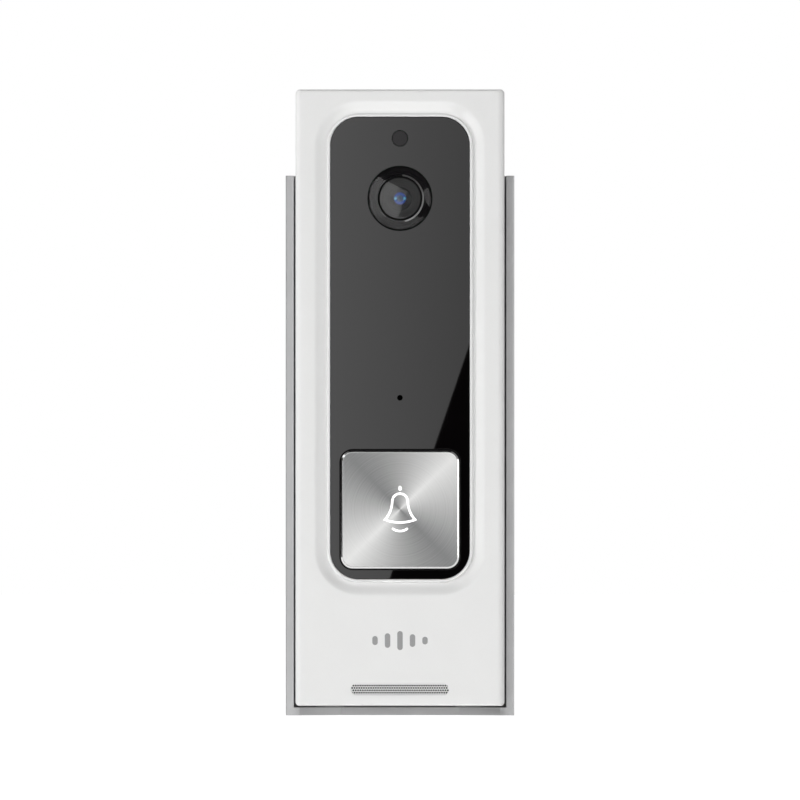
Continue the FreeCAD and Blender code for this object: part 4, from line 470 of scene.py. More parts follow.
@dataclass(frozen=True)
class SpunFinish(Finish):
    """Metal turned on a lathe: its grooves lean out and in, and two opposite sectors get a painted highlight
    in the base colour, with painted shade across them.
    """

    band: float = 0.30 * MM
    band_tone: float = 0.22
    band_lean: float = 0.06
    lean: float = 0.16
    flat_share: float = 0.34
    # The highlight is painted along this diagonal; dark is the painted shade across it, and falloff sets how
    # fast one turns into the other.
    painted_sheen_angle: float = math.radians(44.0)
    dark: float = 0.24
    falloff: float = 0.29

    def rings(self, on: Surface) -> Tuple[Signal, Signal, Signal]:
        """Where a point lies on the plate.

        Args:
            on: The material being made.

        Returns:
            X and Z of the way out from the middle, and the strength of the ring it is on.
        """
        x, z, away = on.about(self.centre)
        radius = away + TINY
        bands = on.node("ShaderNodeTexNoise", {"noise_dimensions": "1D"},
                        {"W": radius * (1.0 / self.band), "Scale": 1.0, "Detail": 5.0, "Roughness": 0.7})
        return x / radius, z / radius, on.signal(bands)

    def painted_sheen(self, out_x: Signal, out_z: Signal) -> Signal:
        """The painted highlight of each sector: most along one diagonal, least across it.

        Args:
            out_x: X of the way out from the middle.
            out_z: Z of the same.

        Returns:
            The painted highlight, from 0 to 1.
        """
        along = out_x * math.cos(self.painted_sheen_angle) + out_z * math.sin(self.painted_sheen_angle)
        near = along.math("MINIMUM", along.math("ABSOLUTE", along), 1.0)
        aside = near.math("ARCCOSINE", near)
        kept = aside.math("POWER", self.falloff, aside / (math.pi / 2.0))
        return (kept - self.falloff) / (1.0 - self.falloff)

    def build(self) -> bpy.types.Material:
        """Makes the material from three shaders, whose grooves lean in, not at all, and out.

        Returns:
            The material of the plate.
        """
        on = Surface(self.name)
        out_x, out_z, ring = self.rings(on)
        painted_shine = self.painted_sheen(out_x, out_z)
        # Painted shade (dark) and painted highlight (the second colour), mixed by the painted sheen and the
        # rings.
        dark = tuple(self.dark * part / self.colour[0] for part in self.colour)
        tone = on.mix(painted_shine + (ring - 0.5) * self.band_tone, dark, self.second)
        flat = on.flat()
        leaning = []
        for lean in (-self.lean, 0.0, self.lean):
            tip = (ring - 0.5) * self.band_lean + lean
            leant = on.vector("ADD", flat, on.join(out_x * tip, 0.0, out_z * tip))
            metal = on.node("ShaderNodeBsdfPrincipled", {}, {
                "Base Color": tone, "Metallic": self.metallic,
                "Roughness": self.roughness + self.swing * ring,
                "Normal": on.vector("NORMALIZE", leant.outputs[0]).outputs[0]})
            leaning.append(metal.outputs[0])
        inward, level, outward = leaning
        pair = on.node("ShaderNodeMixShader", {}, {0: 0.5, 1: inward, 2: outward})
        both = on.node("ShaderNodeMixShader", {}, {0: self.flat_share, 1: pair.outputs[0], 2: level})
        return on.finish(both)


@dataclass(frozen=True)
class PupilFinish(Finish):
    """Coated glass deep in the lens: a blue bloom with a darker middle that glows as painted light, and two
    paler painted glints beside it.
    """

    radius: float = 1.4 * MM
    painted_glint_size: float = 0.42 * MM
    painted_glint_core: float = 0.3
    painted_glint_place: float = 0.72
    bloom: Sequence[Tuple[float, RGB]] = ((0.0, (0.008, 0.045, 0.08)), (0.45, (0.010, 0.07, 0.20)),
                                          (0.75, (0.008, 0.08, 0.55)), (1.0, (0.002, 0.02, 0.16)))

    def build(self) -> bpy.types.Material:
        """Makes the material.

        Returns:
            The material of the coated element.
        """
        on = Surface(self.name)
        x, z, away = on.about(self.centre)
        across = x.math("ABSOLUTE", x) - self.painted_glint_place * self.radius
        # Painted glints: two paler spots beside the middle stand in for reflections.
        painted_glints = 1.0 - ((across ** 2.0 + z * z) ** 0.5 / self.painted_glint_size).ramp(self.painted_glint_core, 1.0)
        bloom = on.node("ShaderNodeValToRGB", {"stops": self.bloom}, {0: away / self.radius})
        tone = on.mix(painted_glints, bloom.outputs[0], self.second)
        # The emission makes the coating glow as painted light.
        return on.finish(on.node("ShaderNodeBsdfPrincipled", {}, {
            "Base Color": tone, "Roughness": self.roughness, "IOR": self.ior, "Coat Weight": self.coat,
            "Emission Color": tone, "Emission Strength": self.glow}))


def grey(tone: float) -> RGB:
    """A neutral colour."""
    return (tone, tone, tone)


def middle_of(node: str) -> Tuple[float, float, float]:
    """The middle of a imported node's box."""
    low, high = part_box(node)
    return tuple((low + high) / 2.0)


def radius_of(node: str) -> float:
    """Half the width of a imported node's box."""
    low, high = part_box(node)
    return (high.x - low.x) / 2.0


FINISHES: Tuple[Finish, ...] = (
    Finish("anodised_aluminium", (0.50, 0.50, 0.505), (0.58, 0.58, 0.585), Pattern.BLASTED, 0.16 * MM, 0.42,
           0.16, 0.006 * MM, 1.0, wear=0.2, edge=0.22 * MM),
    Finish("screw_steel", grey(0.55), grey(0.68), Pattern.BRUSHED, 0.05 * MM, 0.30, 0.15, 0.002 * MM, 1.0,
           wear=0.4),
    Finish("white_shell", (0.745, 0.745, 0.74), (0.775, 0.775, 0.77), Pattern.MOULDED, 0.11 * MM, 0.40, 0.12,
           0.0022 * MM, wear=0.15, edge=0.16 * MM),
    Finish("grey_silicone", grey(0.27), grey(0.32), Pattern.MOULDED, 0.08 * MM, 0.62, 0.1, 0.003 * MM),
    Finish("white_silicone", grey(0.70), grey(0.76), Pattern.MOULDED, 0.09 * MM, 0.58, 0.1, 0.003 * MM,
           edge=0.25 * MM),
    Finish("black_gloss", (0.0022, 0.0018, 0.0020), (0.0036, 0.0028, 0.0032), Pattern.POLISHED, 14.0 * MM,
           0.008, 0.004, 0.0, edge=0.12 * MM),
    Finish("black_foam", grey(0.02), grey(0.04), Pattern.FOAMED, 0.2 * MM, 0.9, 0.1, 0.03 * MM),
    Finish("smoked_window", (0.006, 0.005, 0.006), (0.010, 0.008, 0.010), Pattern.POLISHED, 2.0 * MM, 0.02,
           0.01, 0.0, ior=1.33, edge=0.1 * MM),
    Finish("cover_glass", (0.004, 0.004, 0.005), (0.006, 0.006, 0.008), Pattern.POLISHED, 6.0 * MM, 0.012,
           0.006, 0.0, ior=2.2, alpha=0.14, edge=0.05 * MM),
    Finish("lens_glass", (0.008, 0.010, 0.014), (0.012, 0.014, 0.020), Pattern.POLISHED, 3.0 * MM, 0.02, 0.01,
           0.0, ior=2.0, alpha=0.16, edge=0.05 * MM),
    Finish("barrel_black", grey(0.060), grey(0.080), Pattern.RIPPLED, 0.45 * MM, 0.40, 0.15, 0.02 * MM,
           specular=0.25, centre=middle_of("lens_barrel")),
    Finish("printed_black", grey(0.0020), grey(0.0025), Pattern.POLISHED, 1.0 * MM, 0.70, 0.10, 0.0,
           specular=0.05, edge=0.01 * MM),
    Finish("clip_metal", grey(0.42), grey(0.50), Pattern.POLISHED, 1.0 * MM, 0.38, 0.06, 0.0, 1.0,
           edge=0.03 * MM),
    # Painted light: the second colour is that of the painted glints, and glow makes the coating glow though it
    # is no lamp.
    PupilFinish("lens_coating", (0.02, 0.1, 0.45), (0.12, 0.62, 0.85), Pattern.POLISHED, 1.0 * MM, 0.08,
                coat=0.4, glow=0.55, centre=middle_of("lens_coated_element")),
    Finish("black_matte", (0.004, 0.0035, 0.004), (0.008, 0.007, 0.008), Pattern.MOULDED, 0.1 * MM, 0.38, 0.1,
           0.002 * MM, specular=0.10),
    # Near-black rubber, worn as painted shade by the microphone, its boot and the button seal.
    Finish("dark_rubber", grey(0.008), grey(0.014), Pattern.MOULDED, 0.08 * MM, 0.7, 0.1, 0.003 * MM,
           specular=0.15),
    Finish("silicon_chip", (0.08, 0.08, 0.12), (0.12, 0.10, 0.18), Pattern.ETCHED, 0.8 * MM, 0.22, 0.05,
           0.001 * MM),
    Finish("green_board", (0.010, 0.11, 0.05), (0.03, 0.20, 0.09), Pattern.ETCHED, 3.2 * MM, 0.34, 0.1,
           0.01 * MM, coat=0.3),
    Finish("clear_lamp", (0.62, 0.64, 0.70), (0.74, 0.75, 0.80), Pattern.POLISHED, 1.5 * MM, 0.10, 0.04, 0.0,
           coat=0.6),
    Finish("tinned_steel", grey(0.60), grey(0.70), Pattern.BRUSHED, 0.08 * MM, 0.30, 0.14, 0.002 * MM, 1.0),
    Finish("copper_film", (0.60, 0.30, 0.17), (0.74, 0.40, 0.24), Pattern.BRUSHED, 0.3 * MM, 0.32, 0.1,
           0.001 * MM, 1.0),
    Finish("amber_film", (0.50, 0.24, 0.04), (0.66, 0.36, 0.08), Pattern.BRUSHED, 0.5 * MM, 0.28, 0.1,
           0.002 * MM, coat=0.4),
    Finish("ivory_plastic", (0.68, 0.64, 0.53), (0.75, 0.72, 0.62), Pattern.MOULDED, 0.1 * MM, 0.5, 0.1,
           0.002 * MM),
    Finish("wire_sheath", (0.34, 0.02, 0.015), (0.46, 0.04, 0.03), Pattern.POLISHED, 2.0 * MM, 0.42, 0.1,
           0.002 * MM),
    Finish("bright_frame", grey(0.60), grey(0.70), Pattern.POLISHED, 3.0 * MM, 0.12, 0.05, 0.0, 1.0,
           edge=0.06 * MM),
    # Painted highlight: the second colour is the tone of the two bright sectors.
    SpunFinish("spun_metal", (0.74, 0.75, 0.75), (0.96, 0.96, 0.95), Pattern.RIPPLED, 0.3 * MM, 0.24, 0.12,
               metallic=1.0, centre=middle_of("button_plate")),
    Finish("milky_guide", grey(0.90), grey(0.93), Pattern.MOULDED, 0.2 * MM, 0.35, 0.05, 0.001 * MM, glow=0.7,
           edge=0.03 * MM),
    Finish("white_cap", grey(0.72), grey(0.78), Pattern.MOULDED, 0.1 * MM, 0.42, 0.1, 0.003 * MM,
           edge=0.2 * MM),
    Finish("mesh_steel", grey(0.70), grey(0.80), Pattern.BRUSHED, 0.1 * MM, 0.36, 0.12, 0.002 * MM, 1.0,
           edge=0.03 * MM),
    Finish("black_cloth", grey(0.010), grey(0.022), Pattern.WOVEN, 0.12 * MM, 0.9, 0.1, 0.02 * MM),
    Finish("cone_film", grey(0.06), grey(0.09), Pattern.RIPPLED, 0.8 * MM, 0.4, 0.1, 0.02 * MM,
           centre=middle_of("speaker_cone")),
    Finish("magnet_steel", grey(0.42), grey(0.55), Pattern.BRUSHED, 0.1 * MM, 0.34, 0.12, 0.003 * MM, 1.0,
           wear=0.3),
    Finish("cell_wrap", (0.04, 0.14, 0.34), (0.06, 0.18, 0.42), Pattern.POLISHED, 8.0 * MM, 0.30, 0.1,
           0.003 * MM, coat=0.4),
    Finish("contact_nickel", (0.62, 0.61, 0.58), (0.74, 0.73, 0.70), Pattern.BRUSHED, 0.1 * MM, 0.28, 0.12,
           0.002 * MM, 1.0),
    Finish("terminal_brass", (0.66, 0.47, 0.20), (0.78, 0.60, 0.30), Pattern.BRUSHED, 0.1 * MM, 0.30, 0.12,
           0.003 * MM, 1.0, wear=0.4),
)


class Wardrobe:
    """Every finish's material, by its slot, and the nodes that wear near-black rubber as painted shade in
    place of their slot's finish.
    """

    # Painted shade: the microphone and its boot sit behind a pinhole and the button seal in the gap round the
    # button, and near-black rubber darkens them.
    SHADED_NODES = {"microphone_boot": "dark_rubber", "button_seal": "dark_rubber", "microphone": "dark_rubber"}

    def __init__(self) -> None:
        """Builds one material for each finish."""
        self.materials = {finish.name: finish.build() for finish in FINISHES}

    def wear(self, piece: bpy.types.Object, slot: str, body: str, *nodes: str,
             finish: str = "") -> bpy.types.Object:
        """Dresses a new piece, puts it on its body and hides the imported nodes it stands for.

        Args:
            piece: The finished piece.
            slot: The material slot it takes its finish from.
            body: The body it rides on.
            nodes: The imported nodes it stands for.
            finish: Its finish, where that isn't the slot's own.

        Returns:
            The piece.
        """
        piece.data.materials.clear()
        piece.data.materials.append(self.materials[finish or slot])
        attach(piece, body)
        if nodes:
            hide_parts(*nodes)
        log.info("%s rides %s in %s, %d faces", piece.name, body, slot, len(piece.data.polygons))
        return piece

    def dress_nodes(self) -> None:
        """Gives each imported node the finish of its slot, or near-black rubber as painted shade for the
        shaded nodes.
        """
        for name, node in sorted(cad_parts.items()):
            slot = self.SHADED_NODES.get(name, node.data.materials[0].name)
            node.material_slots[0].material = self.materials[slot]
            log.info("%s keeps its packed shape in %s", name, slot)


# ---- meshes --------------------------------------------------------------------------------------------
def added(name: str, data: bpy.types.ID) -> bpy.types.Object:
    """A new object in the scene.

    Args:
        name: Its name.
        data: Its mesh, lamp or camera.

    Returns:
        The object.
    """
    made = bpy.data.objects.new(name, data)
    bpy.context.scene.collection.objects.link(made)
    return made


def swung(centre: Pair, radius: float, y: float, turn: float) -> Vector:
    """A point at that radius and turn about a line along Y, whose x and z are the centre."""
    return Vector((centre[0] + radius * math.cos(turn), y, centre[1] + radius * math.sin(turn)))


@dataclass(frozen=True)
class Oblong:
    """A rectangle with round corners, upright and facing the person who rings."""

    half_x: float
    half_z: float
    radius: float
    middle: Pair = (0.0, 0.0)

    def grown(self, by: float) -> "Oblong":
        """The same rectangle, larger by that much all round."""
        return Oblong(self.half_x + by, self.half_z + by, max(self.radius + by, LEAST_RADIUS), self.middle)

    def ring(self, y: float, steps: int) -> Ring:
        """Its outline as points.

        Args:
            y: The plane it lies in.
            steps: Divisions of each corner.

        Returns:
            The points, in order.
        """
        points = []
        for quarter in range(4):
            for step in range(steps + 1):
                turn = math.radians(90.0) * (quarter + step / steps)
                side_x = 1.0 if quarter in (0, 3) else -1.0
                side_z = 1.0 if quarter in (0, 1) else -1.0
                points.append(Vector((
                    self.middle[0] + side_x * (self.half_x - self.radius) + self.radius * math.cos(turn), y,
                    self.middle[1] + side_z * (self.half_z - self.radius) + self.radius * math.sin(turn))))
        return points


def outline_of(node: str, radius: float) -> Oblong:
    """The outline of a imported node's box, with corners of that radius."""
    x, _, z = (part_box(node)[1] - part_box(node)[0]) / 2.0
    return Oblong(x, z, radius, middle_of(node)[::2])


class Skin:
    """A closed mesh in the making."""

    def __init__(self, name: str) -> None:
        """Starts an empty mesh of that name."""
        self.name = name
        self.mesh = bmesh.new()

    def verts(self, ring: Ring) -> List[bmesh.types.BMVert]:
        """Adds a ring's points."""
        return [self.mesh.verts.new(point) for point in ring]

    def band(self, first: List[bmesh.types.BMVert], second: List[bmesh.types.BMVert]) -> None:
        """Joins two rings.

        Args:
            first: One ring's vertices.
            second: The other's, as many.
        """
        count = len(first)
        for i in range(count):
            corner = (i + 1) % count
            self.mesh.faces.new((first[i], first[corner], second[corner], second[i]))

    def loft(self, rings: Sequence[Ring], closed: bool = False) -> List[List[bmesh.types.BMVert]]:
        """Joins rings in order.

        Args:
            rings: The rings, all with as many points.
            closed: True if the last joins the first.

        Returns:
            Their vertices.
        """
        made = [self.verts(ring) for ring in rings]
        for first, second in zip(made, made[1:]):
            self.band(first, second)
        if closed:
            self.band(made[-1], made[0])
        return made

    def plate(self, outline: List[bmesh.types.BMVert], *holes: List[bmesh.types.BMVert]) -> None:
        """Fills an outline, round its holes, with triangles.

        Args:
            outline: The outline's vertices.
            holes: The vertices of each hole.
        """
        loops = [outline, *holes]
        flat = [vert for loop in loops for vert in loop]
        for face in tessellate_polygon([[vert.co for vert in loop] for loop in loops]):
            self.mesh.faces.new([flat[i] for i in face])

    def turned(self, profile: Sequence[Pair], centre: Pair, steps: int = 96) -> None:
        """A shape turned about a line along Y.

        Args:
            profile: Radius and y of each point, from one end of the line to the other or back to the start.
            centre: X and z of the line.
            steps: Divisions of a turn.
        """
        turns = [2.0 * math.pi * i / steps for i in range(steps)]
        rings = [[swung(centre, max(radius, 0.0), y, turn) for turn in turns] for radius, y in profile]
        self.loft(rings, closed=profile[0][0] > MERGE)

    def done(self, sharp: float = SHARP) -> bpy.types.Object:
        """Finishes the mesh.

        Args:
            sharp: The angle past which an edge stays sharp.

        Returns:
            Its object, at the origin.
        """
        bmesh.ops.remove_doubles(self.mesh, verts=self.mesh.verts, dist=MERGE)
        bmesh.ops.dissolve_degenerate(self.mesh, edges=self.mesh.edges, dist=MERGE)
        bmesh.ops.recalc_face_normals(self.mesh, faces=self.mesh.faces)
        data = bpy.data.meshes.new(self.name)
        self.mesh.to_mesh(data)
        self.mesh.free()
        data.shade_smooth()
        data.set_sharp_from_angle(angle=sharp)
        return added(self.name, data)


class Recipe(Tree):
    """A geometry node tree with named inputs, which grows a plain mesh."""

    KINDS = {float: "NodeSocketFloat", int: "NodeSocketInt", tuple: "NodeSocketVector",
             bpy.types.Material: "NodeSocketMaterial"}

    def __init__(self, name: str, inputs: Mapping[str, object]) -> None:
        """Starts a tree.

        Args:
            name: The tree's and the piece's name.
            inputs: The names and values of its inputs.
        """
        super().__init__(bpy.data.node_groups.new(name, "GeometryNodeTree"))
        self.name = name
        self.values = dict(inputs)
        self.tree.interface.new_socket("Geometry", in_out="INPUT", socket_type="NodeSocketGeometry")
        self.tree.interface.new_socket("Geometry", in_out="OUTPUT", socket_type="NodeSocketGeometry")
        self.keys = {key: self.tree.interface.new_socket(key, in_out="INPUT",
                                                         socket_type=self.KINDS[type(value)]).identifier
                     for key, value in inputs.items()}
        self.start = self.node("NodeGroupInput")

    def given(self, name: str) -> Signal:
        """A named input."""
        return self.signal(self.start, name)

    def united(self, *parts: bpy.types.NodeSocket) -> bpy.types.NodeSocket:
        """Several geometries as one.

        Args:
            parts: The geometries.

        Returns:
            All of them together.
        """
        made = self.node("GeometryNodeJoinGeometry")
        for part in parts:
            self.tree.links.new(part, made.inputs[0])
        return made.outputs[0]

    def finish(self, geometry: bpy.types.NodeSocket) -> None:
        """Ends the tree: instances made real, then the material.

        Args:
            geometry: What the tree has made.
        """
        real = self.node("GeometryNodeRealizeInstances", {}, {0: geometry})
        dressed = self.node("GeometryNodeSetMaterial", {}, {"Geometry": real.outputs[0],
                                                            "Material": self.given("Material")})
        self.node("NodeGroupOutput", {}, {0: dressed.outputs[0]})

    def grow(self, points: Sequence[Vector]) -> bpy.types.Object:
        """Runs the tree on a set of points.

        Args:
            points: What the tree starts from.

        Returns:
            An object with the plain mesh that came out.
        """
        start = bpy.data.meshes.new(self.name)
        start.from_pydata([tuple(point) for point in points], [], [])
        made = added(self.name, start)
        run = made.modifiers.new(self.name, "NODES")
        run.node_group = self.tree
        for name, value in self.values.items():
            run[self.keys[name]] = value
        ready = made.evaluated_get(bpy.context.evaluated_depsgraph_get())
        plain = bpy.data.meshes.new_from_object(ready)
        made.modifiers.remove(run)
        made.data = plain
        tidy = bmesh.new()
        tidy.from_mesh(plain)
        bmesh.ops.remove_doubles(tidy, verts=tidy.verts, dist=MERGE)
        bmesh.ops.recalc_face_normals(tidy, faces=tidy.faces)
        tidy.to_mesh(plain)
        tidy.free()
        plain.shade_smooth()
        plain.set_sharp_from_angle(angle=SHARP)
        return made


def islands(node: str) -> List[Tuple[Vector, Vector]]:
    """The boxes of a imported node's separate solids.

    Args:
        node: The node's name.

    Returns:
        The lowest and highest corner of each.
    """
    copy = bmesh.new()
    copy.from_mesh(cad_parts[node].data)
    bmesh.ops.remove_doubles(copy, verts=copy.verts, dist=MERGE)
    left, boxes = set(copy.verts), []
    while left:
        edge, found = [left.pop()], []
        while edge:
            vert = edge.pop()
            found.append(vert.co.copy())
            for link in vert.link_edges:
                other = link.other_vert(vert)
                if other in left:
                    left.remove(other)
                    edge.append(other)
        boxes.append((Vector(min(v[i] for v in found) for i in range(3)),
                      Vector(max(v[i] for v in found) for i in range(3))))
    copy.free()
    return sorted(boxes, key=lambda box: tuple(box[0]))


# ---- sub-assemblies ------------------------------------------------------------------------------------
@dataclass
class Shell:
    """The white front shell: soft long edges, a dish round the panel, a raised rim and the speaker slot."""

    wardrobe: Wardrobe
    seam: float = 9.0 * MM
    corner: float = 0.9 * MM
    side_round: float = 1.4 * MM
    end_round: float = 0.55 * MM
    wall: float = 2.0 * MM
    face: float = 3.0 * MM
    corner_loss: float = 0.75
    dish_reach: float = 3.65 * MM
    dish_foot: float = 1.05 * MM
    dish_depth: float = 0.85 * MM
    rim_outer: float = 0.68 * MM
    rim_inner: float = 0.09 * MM
    rim_foot: float = 0.06 * MM
    rim_round: float = 0.30
    rim_drop: float = 0.50 * MM
    panel_radius: float = 6.2 * MM
    ledge: float = 1.3 * MM
    slot: Pair = (21.5 * MM, 2.4 * MM)
    slot_soft: float = 0.15 * MM
    slot_knee: float = 0.3
    slot_ledge: float = 0.5 * MM
    support: float = 0.08 * MM
    outer_steps: int = 6
    edge_steps: int = 8
    dish_steps: int = 14
    rim_steps: int = 6
    panel_steps: int = 22
    slot_steps: int = 10

    def __post_init__(self) -> None:
        """Reads the places of the shell, the panel and the grille."""
        self.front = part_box("front_shell")[0].y
        self.outer = outline_of("front_shell", self.corner)
        self.panel = outline_of("front_panel", self.panel_radius)
        self.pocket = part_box("panel_tape")[1].y
        self.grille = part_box("speaker_mesh")[0].y
        self.opening = Oblong(self.slot[0] / 2.0, self.slot[1] / 2.0, self.slot[1] / 2.0 - ROUND_END_GAP,
                              middle_of("speaker_mesh")[::2])

    def edge_depth(self, index: int) -> float:
        """How deep the softened edge goes: more at the long sides than at the ends.

        Args:
            index: Which point of a ring it is for.

        Returns:
            The depth.
        """
        quarter, step = divmod(index, self.outer_steps + 1)
        part = step / self.outer_steps
        lean = math.cos(math.radians(90.0) * (part if quarter in (0, 2) else 1.0 - part)) ** 2
        return self.end_round + (self.side_round - self.end_round) * lean

    def edge_rings(self) -> List[Ring]:
        """The side wall from the seam, then the softened front edge.

        Returns:
            The rings, from the seam to the flat of the face.
        """
        rings = [self.outer.ring(self.front + self.seam, self.outer_steps)]
        for step in range(self.edge_steps + 1):
            turn = math.radians(90.0) * step / self.edge_steps
            share = 1.0 - math.cos(turn)
            rise = 1.0 - math.sin(turn)
            shrunk = Oblong(self.outer.half_x - self.side_round * share,
                            self.outer.half_z - self.end_round * share,
                            self.corner * (1.0 - self.corner_loss * share), self.outer.middle)
            ring = shrunk.ring(self.front, self.outer_steps)
            for i, point in enumerate(ring):
                point.y += rise * self.edge_depth(i)
            rings.append(ring)
        rings.append(shrunk.grown(-self.support).ring(self.front, self.outer_steps))
        return rings

    def round_panel(self, by: float, depth: float) -> Ring:
        """The panel's outline, larger by that much all round, at a depth behind the face."""
        return self.panel.grown(by).ring(self.front + depth, self.panel_steps)

    def dish_rings(self) -> List[Ring]:
        """From the face down the dish, over the rim, into the pocket and through the ledge.

        Returns:
            The rings, from the flat of the face to the back of it.
        """
        rings = [self.round_panel(self.dish_reach + self.support, 0.0)]
        for step in range(self.dish_steps + 1):
            share = step / self.dish_steps
            fall = share * share * (3.0 - 2.0 * share)
            rings.append(self.round_panel(self.dish_reach + (self.dish_foot - self.dish_reach) * share,
                                          self.dish_depth * fall))
        rings.append(self.round_panel(self.rim_outer + self.rim_foot, self.dish_depth))
        half = (self.rim_outer - self.rim_inner) / 2.0
        middle = (self.rim_outer + self.rim_inner) / 2.0
        for step in range(self.rim_steps + 1):
            turn = math.pi * step / self.rim_steps
            rings.append(self.round_panel(middle + half * math.cos(turn),
                                          self.rim_drop + self.rim_round * half * (1.0 - math.sin(turn))))
        pocket = self.pocket - self.front
        rings += [self.round_panel(self.rim_inner, pocket), self.round_panel(-self.ledge, pocket),
                  self.round_panel(-self.ledge, self.face)]
        return rings

    def slot_rings(self) -> List[Ring]:
        """The slot's own softened edge, and its wall through the face.

        Returns:
            The rings, from the flat of the face to the back of it.
        """
        soft, knee, grille = self.slot_soft, self.slot_knee * self.slot_soft, self.grille - self.front
        places = ((soft + self.support, 0.0), (soft, 0.0), (knee, knee), (0.0, soft), (0.0, grille),
                  (self.slot_ledge, grille), (self.slot_ledge, self.face))
        return [self.opening.grown(by).ring(self.front + depth, self.slot_steps) for by, depth in places]

    def build(self) -> None:
        """Makes the shell."""
        skin = Skin("front_shell_skin")
        edge = skin.loft(self.edge_rings())
        dish = skin.loft(self.dish_rings())
        slot = skin.loft(self.slot_rings())
        inner = self.outer.grown(-self.wall)
        lining = skin.loft([inner.ring(self.front + self.face, self.outer_steps),
                            inner.ring(self.front + self.seam, self.outer_steps)])
        skin.plate(edge[-1], dish[0], slot[0])
        skin.plate(lining[0], dish[-1], slot[-1])
        skin.band(lining[-1], edge[0])
        self.wardrobe.wear(skin.done(), "white_shell", "unit", "front_shell")


@dataclass
class Badge:
    """The five printed bars below the panel, like a sound level."""

    wardrobe: Wardrobe
    heights: Sequence[float] = (2.0 * MM, 3.2 * MM, 4.2 * MM, 2.8 * MM, 1.7 * MM)
    half: float = 0.6 * MM
    pitch: float = 2.75 * MM
    drop: float = 13.55 * MM
    ink: float = 0.006 * MM
    steps: int = 6

    def build(self) -> None:
        """Makes the bars, half sunk in the face."""
        skin = Skin("level_badge")
        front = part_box("front_shell")[0].y
        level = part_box("front_panel")[0].z - self.drop
        for i, height in enumerate(self.heights):
            place = (i - (len(self.heights) - 1) / 2.0) * self.pitch
            bar = Oblong(self.half, height / 2.0, self.half - ROUND_END_GAP, (place, level))
            for plate in skin.loft([bar.ring(front + side * self.ink, self.steps) for side in (1.0, -1.0)]):
                skin.plate(plate)
        self.wardrobe.wear(skin.done(), "grey_silicone", "unit")


